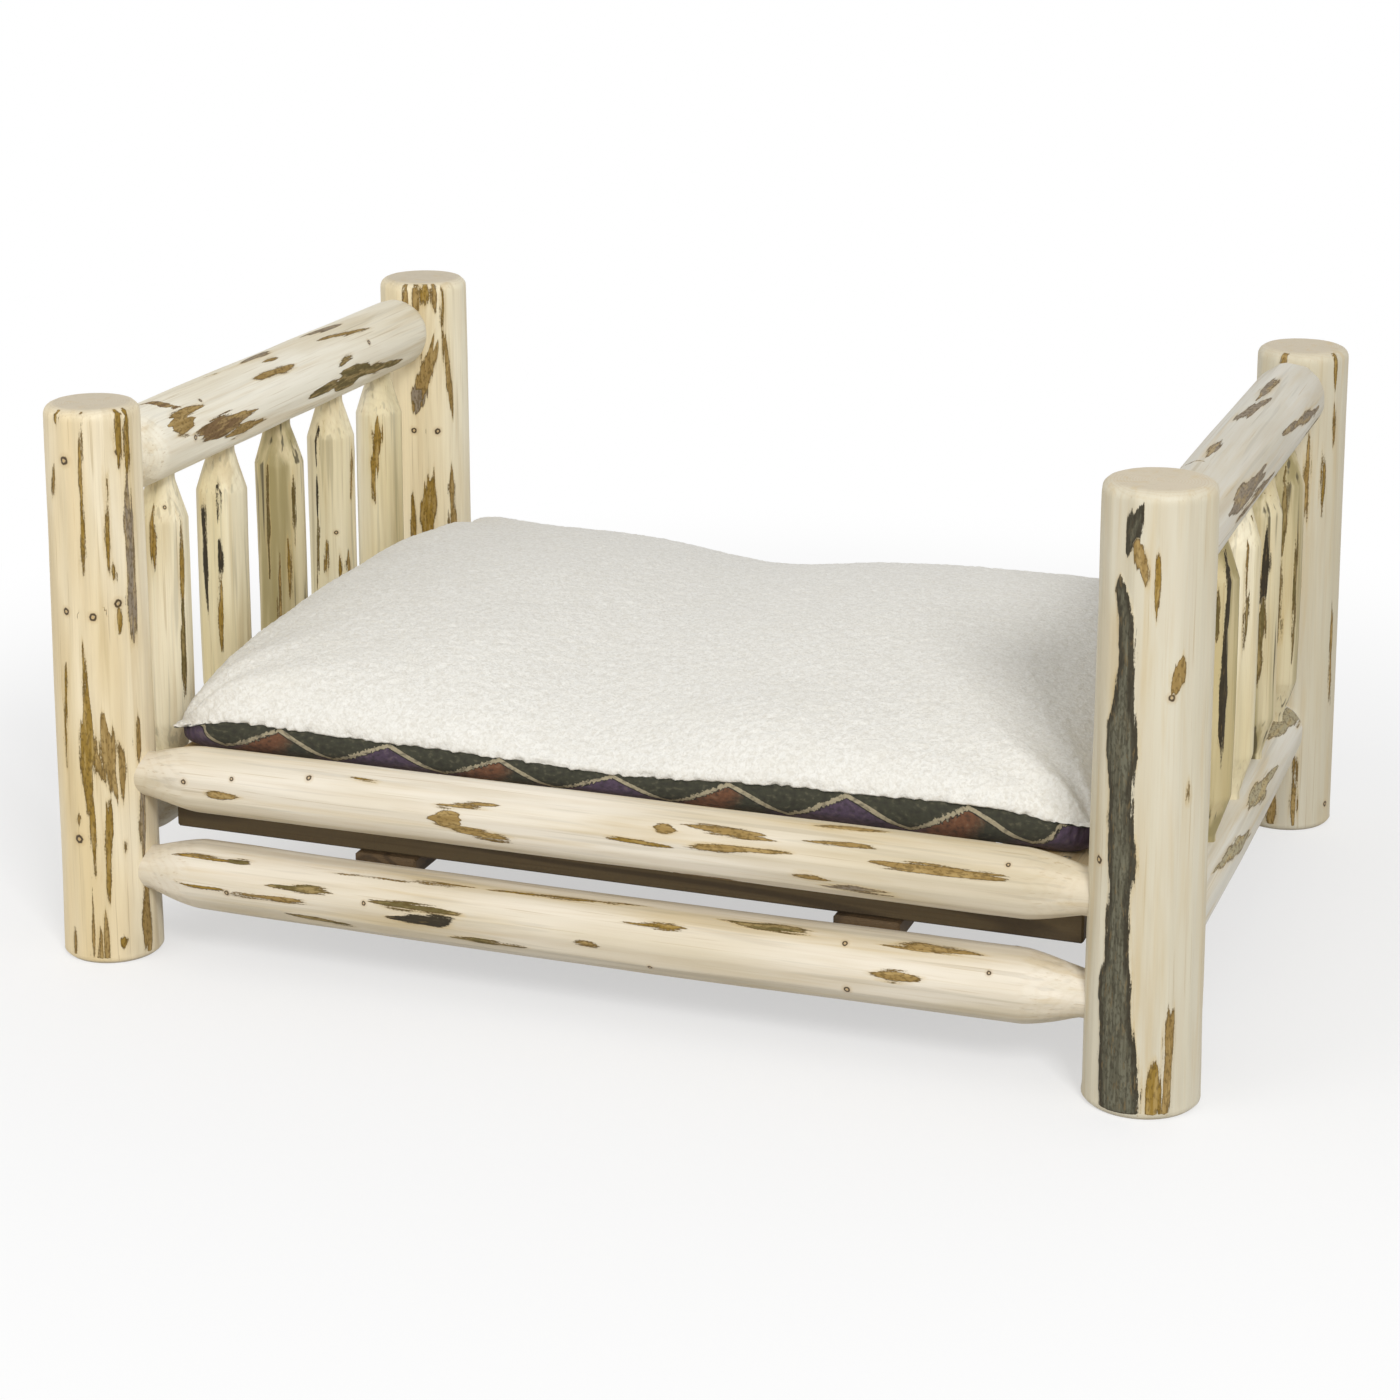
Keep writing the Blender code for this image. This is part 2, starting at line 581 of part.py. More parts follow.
def base_rings(inset):
    """Rings of the lower surface from just short of the middle out to the seam."""
    outline = cushion_outline(inset)
    depth = CUSHION_SEAM_RISE - CLEARANCE / 2 - inset
    rings = []
    points = len(outline)
    for i in range(CUSHION_BASE_RINGS):
        turn = math.pi / 2 * i / (CUSHION_BASE_RINGS - 1)
        share = BASE_FLAT_SHARE + (1 - BASE_FLAT_SHARE) * math.sin(turn)
        height = CUSHION_SEAM - CLEARANCE / 2 - depth * math.cos(turn)
        rings.append(np.column_stack([outline * share, np.full(points, height)]))
    return rings


def make_cushion(fleece, print_cloth, fibre, parent):
    """Fleece top, printed base and the filling between them, each a closed body with a small gap."""
    lining = FLEECE_THICKNESS + CLEARANCE
    bm = bmesh.new()
    add_loft(bm, crown_rings(FLEECE_THICKNESS)[::-1] + crown_rings(0.0),
             poles=(crown_pole(FLEECE_THICKNESS), crown_pole(0.0)))
    add_object("cushion_fleece_top", bm, fleece, parent)
    bm = bmesh.new()
    add_loft(bm, base_rings(0.0) + base_rings(PRINT_THICKNESS)[::-1])
    add_object("cushion_print_base", bm, print_cloth, parent)
    bm = bmesh.new()
    add_loft(bm, base_rings(lining) + crown_rings(lining), poles=(None, crown_pole(lining)))
    add_object("cushion_filling", bm, fibre, parent)


def main():
    for obj in list(bpy.data.objects):
        bpy.data.objects.remove(obj, do_unlink=True)
    log = plain_material("peeled_pine_log", LOG_COLOUR, LOG_ROUGHNESS)
    board = plain_material("sawn_pine_board", BOARD_COLOUR, BOARD_ROUGHNESS)
    steel = steel_material("zinc_plated_screw", STEEL_COLOUR, STEEL_ROUGHNESS)
    fleece = plain_material("fleece", FLEECE_COLOUR, SOFT_ROUGHNESS)
    print_cloth = plain_material("printed_cotton", PRINT_COLOUR, PRINT_ROUGHNESS)
    fibre = plain_material("fibre_filling", FIBRE_COLOUR, SOFT_ROUGHNESS)

    frame = bpy.data.objects.new("bed_frame", None)
    loose = bpy.data.objects.new("loose_cushion", None)
    for empty in (frame, loose):
        bpy.context.collection.objects.link(empty)

    make_post("front_left_post", -HALF_LENGTH, -HALF_WIDTH, FRONT_LEFT_HEIGHT, FRONT_LEFT_DIAMETER, 1,
              log, frame)
    make_post("front_right_post", HALF_LENGTH, -HALF_WIDTH, FRONT_RIGHT_HEIGHT, FRONT_RIGHT_DIAMETER, 2,
              log, frame)
    make_post("back_left_post", -HALF_LENGTH, HALF_WIDTH, BACK_LEFT_HEIGHT, BACK_LEFT_DIAMETER, 3,
              log, frame)
    make_post("back_right_post", HALF_LENGTH, HALF_WIDTH, BACK_RIGHT_HEIGHT, BACK_RIGHT_DIAMETER, 4,
              log, frame)
    make_end("headboard", -HALF_LENGTH, (FRONT_LEFT_DIAMETER, BACK_LEFT_DIAMETER),
             HEAD_TOP_RAIL_DIAMETER, 5, log, frame)
    make_end("footboard", HALF_LENGTH, (FRONT_RIGHT_DIAMETER, BACK_RIGHT_DIAMETER),
             FOOT_TOP_RAIL_DIAMETER, 15, log, frame)
    make_side("front", -1, (FRONT_LEFT_DIAMETER, FRONT_RIGHT_DIAMETER), 25, log, board, steel, frame)
    make_side("back", 1, (BACK_LEFT_DIAMETER, BACK_RIGHT_DIAMETER), 28, log, board, steel, frame)
    make_battens(board, steel, frame)
    make_deck(board, frame)
    make_cushion(fleece, print_cloth, fibre, loose)


main()
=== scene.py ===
# %% [markdown]
# A peeled-log dog bed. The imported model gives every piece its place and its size. This file gives
# each piece the surface that the real one has: hand-peeled pine with scraps of inner bark and knots,
# plain sawn boards underneath, zinc screws, and a loose fleece cushion with a printed underside.

# %% Load the frame
import math
from typing import NamedTuple

import bpy
import numpy as np
from mathutils import Matrix, Vector


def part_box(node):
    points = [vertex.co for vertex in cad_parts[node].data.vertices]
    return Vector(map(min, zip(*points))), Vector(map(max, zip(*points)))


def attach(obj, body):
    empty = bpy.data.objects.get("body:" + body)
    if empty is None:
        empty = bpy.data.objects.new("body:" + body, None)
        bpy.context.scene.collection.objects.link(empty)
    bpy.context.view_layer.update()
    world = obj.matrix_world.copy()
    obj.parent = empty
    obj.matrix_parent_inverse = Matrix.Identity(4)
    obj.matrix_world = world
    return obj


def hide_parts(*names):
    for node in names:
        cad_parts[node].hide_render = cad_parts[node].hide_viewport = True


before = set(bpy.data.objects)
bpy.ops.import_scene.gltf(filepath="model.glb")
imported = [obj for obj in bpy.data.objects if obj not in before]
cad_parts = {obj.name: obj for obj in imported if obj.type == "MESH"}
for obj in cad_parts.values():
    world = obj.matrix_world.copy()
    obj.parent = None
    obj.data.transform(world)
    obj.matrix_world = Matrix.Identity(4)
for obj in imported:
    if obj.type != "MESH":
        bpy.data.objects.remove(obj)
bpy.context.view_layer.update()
print("nodes in the frame:", len(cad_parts))

# %% [markdown]
# The camera stands in front of the right-hand corner, a little above the bed, with a long lens. In
# the picture the posts are almost upright, which takes a strong lens shift. A strong shift would push
# the bed out of the frame from other sides, so the camera here has a smaller one and tilts down more.
# The marks on the logs were read in the upright picture, so they are traced back along the upright
# view's rays.

# %% Camera
SENSOR_MM = 36.0
PICTURE_SIZE = 1400


class View(NamedTuple):
    """A camera: place in metres, heading and tilt down in degrees, lens in mm and upward shift."""
    place: tuple
    heading: float
    tilt: float
    lens: float
    shift: float


SHOWN = View((1.0308, -3.0025, 1.2273), -19.541, 12.959, 81.745, -0.200)
TRACED = View((1.1246, -3.2924, 1.3019), -19.446, 5.793, 88.028, -0.512)


def view_axes(view):
    """Rows right, up and forward: forward is (sin h cos t, cos h cos t, -sin t), right is level."""
    heading, tilt = math.radians(view.heading), math.radians(view.tilt)
    level = math.cos(tilt)
    forward = np.array([math.sin(heading) * level, math.cos(heading) * level, -math.sin(tilt)])
    right = np.array([math.cos(heading), -math.sin(heading), 0.0])
    return np.stack([right, np.cross(right, forward), forward])


def picture_ray(point):
    """Direction of a picture point: forward + (dx right - dy up) / focal length, in picture points."""
    right, up, forward = view_axes(TRACED)
    focal = TRACED.lens / SENSOR_MM * PICTURE_SIZE
    across = point[0] - PICTURE_SIZE / 2
    down = point[1] - PICTURE_SIZE / 2 - TRACED.shift * PICTURE_SIZE
    return forward + (across * right - down * up) / focal


def make_camera():
    """The scene's camera, at the place and heading of the shown view."""
    right, up, forward = view_axes(SHOWN)
    turn = Matrix((right, up, -forward)).transposed().to_4x4()
    camera = bpy.data.objects.new("camera", bpy.data.cameras.new("camera"))
    bpy.context.scene.collection.objects.link(camera)
    camera.matrix_world = Matrix.Translation(SHOWN.place) @ turn
    camera.data.lens = SHOWN.lens
    camera.data.sensor_width = SENSOR_MM
    camera.data.shift_y = SHOWN.shift
    bpy.context.scene.camera = camera
    print("camera looks along", forward.round(3))


make_camera()

# %% [markdown]
# A finish in Blender is a web of nodes. In code each node takes several lines: make it, set it, link
# it. This helper does all of that in one call and gives back the node's result, so that a pattern
# reads like a formula. Colours are written as they show on a screen.

# %% Node graphs
MIX_INPUTS, MIX_RESULT = (0, 6, 7), 2


class Grain(NamedTuple):
    """Noise drawn out along Z: the factor on Z, then the noise's scale, detail and distortion."""
    squeeze: float
    scale: float
    detail: float
    distortion: float = 0.0


class Tint(NamedTuple):
    """A tint over a pattern: values where it starts and where it is full, amount and colour."""
    start: float
    full: float
    amount: float
    colour: tuple


class Graph:
    """Adds nodes to one tree. A value given for a socket is set there, and a socket is linked."""

    def __init__(self, tree):
        self.tree = tree

    def feed(self, socket, value):
        """Sets a socket to a value, or links another socket to it."""
        if isinstance(value, bpy.types.NodeSocket):
            self.tree.links.new(value, socket)
        else:
            socket.default_value = value

    def dress(self, node, **sockets):
        """Feeds a node's inputs by their names, with _ for a space."""
        for name, value in sockets.items():
            self.feed(node.inputs[name.replace("_", " ")], value)

    def add(self, kind, settings=None, **sockets):
        """A new node with its settings and inputs."""
        node = self.tree.nodes.new("ShaderNode" + kind)
        for name, value in (settings or {}).items():
            setattr(node, name, value)
        self.dress(node, **sockets)
        return node

    def fill(self, node, *values):
        """Feeds a node's first inputs in order and gives its first output."""
        for socket, value in zip(node.inputs, values):
            self.feed(socket, value)
        return node.outputs[0]

    def math(self, operation, *values):
        """One operation on one, two or three values."""
        return self.fill(self.add("Math", {"operation": operation}), *values)

    def plus(self, one, other):
        """one + other."""
        return self.math("ADD", one, other)

    def minus(self, one, other):
        """one - other."""
        return self.math("SUBTRACT", one, other)

    def times(self, one, other):
        """one * other."""
        return self.math("MULTIPLY", one, other)

    def scaled(self, value, factor, start):
        """start + factor * value."""
        return self.math("MULTIPLY_ADD", value, factor, start)

    def rest(self, value):
        """1 minus a value."""
        return self.minus(1.0, value)

    def centred(self, noise):
        """Noise about 0 instead of about 0.5."""
        return self.minus(noise, 0.5)

    def either(self, share, low, high):
        """One value where the share is 0, another where it is 1."""
        return self.plus(self.times(self.rest(share), low), self.times(share, high))

    def mix(self, share, low, high):
        """One colour where the share is 0, another where it is 1."""
        node = self.add("Mix", {"data_type": "RGBA"})
        for index, value in zip(MIX_INPUTS, (share, low, high)):
            self.feed(node.inputs[index], value)
        return node.outputs[MIX_RESULT]

    def step(self, value, low, high):
        """0 below low, 1 above high, and a smooth step between them."""
        node = self.add("MapRange", {"interpolation_type": "SMOOTHSTEP"}, Value=value,
                        From_Min=low, From_Max=high)
        return node.outputs["Result"]

    def coords(self):
        """Object coordinates, in metres from the bed's origin."""
        return self.add("TexCoord").outputs["Object"]

    def field(self, name, output="Fac"):
        """A point field of the piece that the finish is on."""
        return self.add("Attribute", {"attribute_name": name}).outputs[output]

    def axis(self, vector, name):
        """One coordinate of a vector."""
        return self.add("SeparateXYZ", None, Vector=vector).outputs[name]

    def stretch(self, vector, scale):
        """A vector times another, coordinate by coordinate."""
        return self.fill(self.add("VectorMath", {"operation": "MULTIPLY"}), vector, scale)

    def length(self, vector):
        """Length of a vector."""
        node = self.add("VectorMath", {"operation": "LENGTH"})
        self.fill(node, vector)
        return node.outputs["Value"]

    def noise(self, vector, scale, detail, distortion=0.0):
        """Noise from 0 to 1, mostly near 0.5."""
        node = self.add("TexNoise", Vector=vector, Scale=scale, Detail=detail, Distortion=distortion)
        return node.outputs["Fac"]

    def grain(self, space, grain):
        """Noise drawn out along Z, as the fibres of a log are."""
        drawn_out = self.stretch(space, (1, 1, grain.squeeze))
        return self.noise(drawn_out, grain.scale, grain.detail, grain.distortion)

    def tint(self, colour, pattern, tint):
        """A colour with a tint laid where the pattern is strong."""
        share = self.times(self.step(pattern, tint.start, tint.full), tint.amount)
        return self.mix(share, colour, tint.colour)

    def ramp(self, share, stops, interpolation="LINEAR"):
        """The colour at a share between stops of (place, colour)."""
        node = self.add("ValToRGB", None, Fac=share)
        ramp = node.color_ramp
        ramp.interpolation = interpolation
        while len(ramp.elements) < len(stops):
            ramp.elements.new(1.0)
        for element, (place, colour) in zip(ramp.elements, stops):
            element.position = place
            element.color = colour
        return node.outputs["Color"]

    def bump(self, height, strength, distance):
        """Normal of a surface with this height."""
        node = self.add("Bump", None, Strength=strength, Distance=distance, Height=height)
        return node.outputs["Normal"]


def paint(red, green, blue):
    """Linear colour of screen values from 0 to 255: ((v / 255 + 0.055) / 1.055) ** 2.4."""
    screen = np.array([red, green, blue]) / 255
    linear = np.where(screen <= 0.04045, screen / 12.92, ((screen + 0.055) / 1.055) ** 2.4)
    return (*linear.tolist(), 1.0)


def new_material(name):
    """A fresh material, its graph and its Principled shader."""
    material = bpy.data.materials.new(name)
    material.use_nodes = True
    return material, Graph(material.node_tree), material.node_tree.nodes["Principled BSDF"]


print("a screen grey of 128 is linear", round(paint(128, 128, 128)[0], 3))

# %% [markdown]
# A studio for a catalogue picture is a pale floor and big soft lights. One lamp stands in front, above
# the camera and to its right, so the front right post throws a soft shadow on the cushion. A weaker
# one fills from the left. The world is an even white. The floor turns to plain white away from the bed.

# %% Floor, lights and world
KEY_PLACE, KEY_SIZE, KEY_WATTS = (3.0, -4.5, 3.9), 1.5, 196.0
FILL_PLACE, FILL_SIZE, FILL_WATTS = (-3.4, -4.6, 2.6), 3.4, 74.0
WORLD_LEVEL = 0.54
WHITE = (1.0, 1.0, 1.0, 1.0)
FLOOR_SEEN, FLOOR_BOUNCE = paint(246, 246, 246), paint(186, 184, 180)
FLOOR_ROUGHNESS = 0.9
FLOOR_HALF = 12.0
FLOOR_FADE = (0.70, 1.6)
SHADOW_LIFT = 0.55
AIM = Vector((0.0, 0.0, 0.25))


def area_lamp(name, place, size, watts):
    """A square soft lamp that faces the bed."""
    lamp = bpy.data.objects.new(name, bpy.data.lights.new(name, "AREA"))
    lamp.data.size = size
    lamp.data.energy = watts
    lamp.location = place
    lamp.rotation_euler = (AIM - Vector(place)).to_track_quat("-Z", "Y").to_euler()
    bpy.context.scene.collection.objects.link(lamp)


def seen_directly(graph):
    """1 for rays that look at the stage directly, in a mirror or through glass, 0 for light rays."""
    path = graph.add("LightPath").outputs
    mirror = graph.math("MAXIMUM", path["Is Glossy Ray"], path["Is Transmission Ray"])
    return graph.math("MAXIMUM", path["Is Camera Ray"], mirror)


def floor_material():
    """Pale matt floor that keeps part of the shadow near the bed and turns plain white further out.

    The light that it throws back up is that of a greyer floor, so the undersides keep their shade.
    """
    material, graph, shader = new_material("pale_floor")
    direct = seen_directly(graph)
    colour = graph.mix(direct, FLOOR_BOUNCE, FLOOR_SEEN)
    graph.dress(shader, Base_Color=colour, Roughness=FLOOR_ROUGHNESS)
    far = graph.step(graph.length(graph.coords()), *FLOOR_FADE)
    lifted = graph.scaled(far, 1 - SHADOW_LIFT, SHADOW_LIFT)
    white = graph.add("Emission", None, Color=WHITE, Strength=1.0)
    both = graph.fill(graph.add("MixShader"), graph.times(lifted, direct), shader.outputs["BSDF"],
                      white.outputs["Emission"])
    graph.dress(material.node_tree.nodes["Material Output"], Surface=both)
    return material


def make_floor():
    """One square face under the bed."""
    mesh = bpy.data.meshes.new("floor")
    corners = FLOOR_HALF * np.array([(-1, -1, 0), (1, -1, 0), (1, 1, 0), (-1, 1, 0)], float)
    mesh.from_pydata(corners.tolist(), [], [(0, 1, 2, 3)])
    mesh.materials.append(floor_material())
    floor = bpy.data.objects.new("floor", mesh)
    bpy.context.scene.collection.objects.link(floor)


def make_world():
    """An even white all round, plain white where it is seen and weaker as a light."""
    world = bpy.data.worlds.new("studio")
    world.use_nodes = True
    bpy.context.scene.world = world
    graph = Graph(world.node_tree)
    level = graph.math("MAXIMUM", seen_directly(graph), WORLD_LEVEL)
    graph.dress(world.node_tree.nodes["Background"], Strength=level, Color=WHITE)


make_floor()
area_lamp("key_lamp", KEY_PLACE, KEY_SIZE, KEY_WATTS)
area_lamp("fill_lamp", FILL_PLACE, FILL_SIZE, FILL_WATTS)
make_world()
bpy.context.scene.view_settings.view_transform = "Standard"
print("stage: floor, key and fill lamps, world level", WORLD_LEVEL)

# %% [markdown]
# Hand work is never quite even, so the surfaces need noise that is the same on every run. Value noise
# does this: each cell of a grid has a fixed value, and points between take a smooth mix of the eight
# corners round them. It works on whole arrays of points at once.

# %% Noise
CELL_FACTORS = np.array([374761393, 668265263, 2147483647])
MIX_FACTOR = 1274126177
LOW_BITS = 0xFFFFFFFF


def lattice(cells, seed):
    """A fixed value from 0 to 1 for each integer cell, by mixing the bits of its three numbers."""
    mixed = (cells @ CELL_FACTORS + seed * MIX_FACTOR) & LOW_BITS
    mixed = ((mixed ^ (mixed >> 13)) * MIX_FACTOR) & LOW_BITS
    return (mixed ^ (mixed >> 16)) / LOW_BITS


def cell_and_share(values):
    """The cell below each value, and the smooth share t * t * (3 - 2t) of the way through it."""
    base = np.floor(values).astype(np.int64)
    share = values - base
    return base, share * share * (3 - 2 * share)


def soft_noise(points, seed):
    """Noise from -1 to 1: the sum over a cell's corners of corner value times smooth weights."""
    base, share = cell_and_share(points)
    total = np.zeros(points.shape[:-1])
    for corner in np.ndindex(2, 2, 2):
        weight = np.prod(np.where(corner, share, 1 - share), axis=-1)
        total += weight * lattice(base + np.array(corner), seed)
    return 2 * total - 1


def line_noise(values, seed):
    """Noise along one line: the two fixed values on either side of each place, mixed smoothly."""
    base, share = cell_and_share(values)
    low, high = (lattice(cell[..., None] * np.array([1, 0, 0]), seed) for cell in (base, base + 1))
    return 2 * (low + (high - low) * share) - 1


def smooth_step(values, low, high):
    """0 below low, 1 above high, and t * t * (3 - 2t) between."""
    share = np.clip((values - low) / (high - low), 0, 1)
    return share * share * (3 - 2 * share)


sample = line_noise(np.linspace(0, 50, 1000), 1)
print("noise runs from", sample.min().round(2), "to", sample.max().round(2))

# %% [markdown]
# Blender could build a log from a cylinder and modifiers, but its marks would then need textures of
# their own. Here every piece is worked out as an array of points, and one helper puts the array into a
# mesh. Point fields go along as attributes that the finishes can read.

# %% Mesh helpers


def make_piece(name, points, faces, material, fields=None):
    """A smooth object at the origin from points, arrays of faces of one size each, and point fields."""
    mesh = bpy.data.meshes.new(name)
    corners = np.concatenate([group.ravel() for group in faces]).astype(np.int32)
    sizes = np.concatenate([np.full(len(group), group.shape[1]) for group in faces])
    mesh.vertices.add(len(points))
    mesh.vertices.foreach_set("co", points.astype(np.float32).ravel())
    mesh.loops.add(len(corners))
    mesh.loops.foreach_set("vertex_index", corners)
    mesh.polygons.add(len(sizes))
    mesh.polygons.foreach_set("loop_start", (np.cumsum(sizes) - sizes).astype(np.int32))
    mesh.update(calc_edges=True)
    mesh.shade_smooth()
    for field, values in (fields or {}).items():
        flat = values.ndim == 1
        target = mesh.attributes.new(field, "FLOAT" if flat else "FLOAT_VECTOR", "POINT")
        target.data.foreach_set("value" if flat else "vector", values.astype(np.float32).ravel())
    mesh.materials.append(material)
    piece = bpy.data.objects.new(name, mesh)
    bpy.context.scene.collection.objects.link(piece)
    return piece


def with_poles(rows, first, last):
    """Rows of values as one list, with a pole's value before the first row and after the last."""
    return np.concatenate([[first], rows.reshape(-1, *np.shape(first)), [last]])


def tube_faces(rows, columns):
    """Faces of rows of points wrapped round an axis, with a pole before the first row and one after."""
    j = np.arange(columns)
    following = (j + 1) % columns
    i = 1 + np.arange(rows - 1)[:, None] * columns
    quads = np.stack([i + j, i + following, i + columns + following, i + columns + j], axis=-1)
    last = 1 + (rows - 1) * columns
    low_fan = np.stack([0 * j, 1 + following, 1 + j], axis=-1)
    high_fan = np.stack([0 * j + last + columns, last + j, last + following], axis=-1)
    return [quads.reshape(-1, 4), low_fan, high_fan]


print("a tube of 4 rings of 12 points has", sum(len(group) for group in tube_faces(4, 12)), "faces")

# %% [markdown]
# Every log of the frame is described by the same few values. The picture shows where scraps of inner
# bark and knots lie on it. A ray from the camera through a mark meets the round log at one place, and
# that place is kept as a length along the log and an angle round it.

# %% Logs and their marks
MM_PER_METRE = 1000
# Tones of bark. The plum tone is bark on the shaded sides of the logs: its greyness is partly painted
# shade.
GOLD, BROWN, RUSSET, OLIVE, SHADED_PLUM, TAUPE, GREY, BLACK = 0.0, 0.20, 0.36, 0.52, 0.66, 0.76, 0.88, 1.0


class Work(NamedTuple):
    """Hand work on a log: flats round it, their depth, its bow, size of knots, scraps at the back."""
    flats: int
    depth: float
    bow: float
    knot: float
    scraps: int


class Log(NamedTuple):
    """A log: its node, the axis it runs along, a point of that axis line, radius, work and seed."""
    node: str
    axis: str
    centre: tuple
    radius: float
    work: Work
    seed: int


class Streak(NamedTuple):
    """A scrap of bark in the picture: its two tips, its greatest width in mm and its tone."""
    x: float
    y: float
    end_x: float
    end_y: float
    width: float
    tone: float


class Scrap(NamedTuple):
    """A scrap on the log itself: place and angle of both tips, greatest width in metres and tone."""
    low: float
    low_turn: float
    high: float
    high_turn: float
    width: float
    tone: float


AXIS_FRAMES = {"X": np.array([(0, 1, 0), (0, 0, 1), (1, 0, 0)], float),
               "Y": np.array([(0, 0, 1), (1, 0, 0), (0, 1, 0)], float),
               "Z": np.eye(3)}


def wrap(angle):
    """The same angle between minus pi and pi."""
    return (angle + math.pi) % (2 * math.pi) - math.pi


def spot_on_log(log, point):
    """Place along a log and angle round it where a picture point falls on it.

    In the log's own frame the ray is o + t d. It meets the round log where its distance from the axis
    is the radius, so t solves a quadratic. A point just off the log takes the nearest side.
    """
    turn = AXIS_FRAMES[log.axis]
    start = turn @ (np.array(TRACED.place) - np.array(log.centre))
    ray = turn @ picture_ray(point)
    a = ray[:2] @ ray[:2]
    b = start[:2] @ ray[:2]
    c = start[:2] @ start[:2] - log.radius ** 2
    hit = start + ray * (-b - math.sqrt(max(b * b - a * c, 0.0))) / a
    return hit[2], math.atan2(hit[1], hit[0])


def scrap_of(log, streak):
    """The scrap on the log that shows as a streak in the picture."""
    tips = ((streak.x, streak.y), (streak.end_x, streak.end_y))
    (low, low_turn), (high, high_turn) = sorted(spot_on_log(log, tip) for tip in tips)
    return Scrap(low, low_turn, high, high_turn, streak.width / MM_PER_METRE, streak.tone)


print("the picture's middle lies along", picture_ray((PICTURE_SIZE / 2, PICTURE_SIZE / 2)).round(3))

# %% [markdown]
# The picture shows only one side of each log. The other sides get marks of the same kind, drawn by a
# generator with a fixed seed for each log, so that they are the same on every run.

# %% Marks on the sides that the picture hides
SCRAP_SEED, KNOT_SEED = 1000, 500
HIDDEN_TONES = (GOLD, BROWN, BROWN, RUSSET, OLIVE)
HIDDEN_SPREAD, HIDDEN_LEAN = 1.45, 0.06
HIDDEN_LENGTHS, HIDDEN_WIDTHS = (0.02, 0.11), (0.003, 0.011)
SHOWN_KNOT_SIZES, HIDDEN_KNOT_SIZES = (0.8, 1.15), (0.8, 1.3)
HIDDEN_KNOTS, HIDDEN_KNOT_SPREAD, KNOT_MARGIN = 3, 1.2, 0.08


def away_from_camera(log):
    """Angle round a log, in its own frame, of the side that faces away from the camera."""
    back = AXIS_FRAMES[log.axis] @ (np.array(log.centre) - np.array(TRACED.place))
    return math.atan2(back[1], back[0])


def hidden_scraps(log, low, high):
    """Scraps on the side of a log that faces away from the camera, between two places along it."""
    draw = np.random.default_rng(SCRAP_SEED + log.seed)
    away = away_from_camera(log)
    scraps = []
    for _ in range(log.work.scraps):
        place = draw.uniform(low, high)
        turn = away + draw.uniform(-HIDDEN_SPREAD, HIDDEN_SPREAD)
        half = draw.uniform(*HIDDEN_LENGTHS) / 2
        width = draw.uniform(*HIDDEN_WIDTHS)
        lean = draw.uniform(-HIDDEN_LEAN, HIDDEN_LEAN)
        tone = HIDDEN_TONES[draw.integers(len(HIDDEN_TONES))]
        scraps.append(Scrap(place - half, turn - lean, place + half, turn + lean, width, tone))
    return scraps


def knot_spots(log, points):
    """Place, angle and size of the knots that show in the picture, and of a few on the far side."""
    draw = np.random.default_rng(KNOT_SEED + log.seed)
    size = log.work.knot
    spots = [(*spot_on_log(log, point), size * draw.uniform(*SHOWN_KNOT_SIZES)) for point in points]
    low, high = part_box(log.node)
    axis = "XYZ".index(log.axis)
    away = away_from_camera(log)
    for _ in range(HIDDEN_KNOTS):
        place = draw.uniform(low[axis] + KNOT_MARGIN, high[axis] - KNOT_MARGIN) - log.centre[axis]
        turn = away + draw.uniform(-HIDDEN_KNOT_SPREAD, HIDDEN_KNOT_SPREAD)
        spots.append((place, turn, size * draw.uniform(*HIDDEN_KNOT_SIZES)))
    return spots


print("each log gets", HIDDEN_KNOTS, "knots at the back")

# %% [markdown]
# A scrap of bark could be a piece of its own, but it is as thin as paper and torn along the fibres.
# So it is a field on the log: how far inside the scrap each point lies. Later the finish cuts that
# field with fine noise, which draws a crisp, ragged edge on a plain mesh. A long strip of thick bark
# is left on the front right post. It wanders and changes width, so it is kept as a band: its left and
# right edge in the picture at a few heights, with straight lines between.

# %% Scraps and bands of bark
COMB_PITCH, COMB_DEPTH = 0.0036, 0.16
SHORTEST_SCRAP = 0.006
WIDTH_WAVE, WIDTH_UNEVEN = 0.028, 0.35
TIP_POWER, TIP_FALL = 0.8, 0.4
BAND_WAVES = ((0.0024, 0.030), (0.0005, 0.006))
WIDTH_SEED, ONE_EDGE_SEED, OTHER_EDGE_SEED = 7, 9, 10


class Band(NamedTuple):
    """A strip of bark: place along the log, angle of both edges there, and its tone."""
    place: np.ndarray
    one_edge: np.ndarray
    other_edge: np.ndarray
    tone: float


def scrap_inside(scrap, along, turn, radius, seed):
    """Metres inside a scrap, below zero outside: half width minus distance from its middle line.

    Half width follows (4 s (1 - s)) ** 0.8 for the share s of its length. The share is combed: each
    strand across the scrap starts and stops at its own place, so the ends are flames and not ovals.
    """
    length = max(scrap.high - scrap.low, SHORTEST_SCRAP)
    share = (along - scrap.low) / length
    middle = scrap.low_turn + wrap(scrap.high_turn - scrap.low_turn) * share
    across = radius * wrap(turn - middle)
    comb = share + COMB_DEPTH * line_noise(across / COMB_PITCH, seed)
    uneven = 1 + WIDTH_UNEVEN * line_noise(along / WIDTH_WAVE, seed + WIDTH_SEED)
    half = scrap.width / 2 * uneven * np.clip(4 * comb * (1 - comb), 0, 1) ** TIP_POWER
    beyond = TIP_FALL * length * np.maximum(np.maximum(-comb, comb - 1), 0)
    return half - np.abs(across) - beyond


def band_of(log, stations, tone):
    """The band on a log whose edges show at (left, right, height) in the picture."""
    edges = sorted((*spot_on_log(log, (left, height)), spot_on_log(log, (right, height))[1])
                   for left, right, height in stations)
    return Band(*np.array(edges).T, tone)


def band_edge(band, edge, along, radius, seed):
    """Angle of a band's edge, which wavers by two sizes of noise along the log."""
    waver = sum(height * line_noise(along / length, seed) for height, length in BAND_WAVES)
    return np.interp(along, band.place, edge) + waver / radius


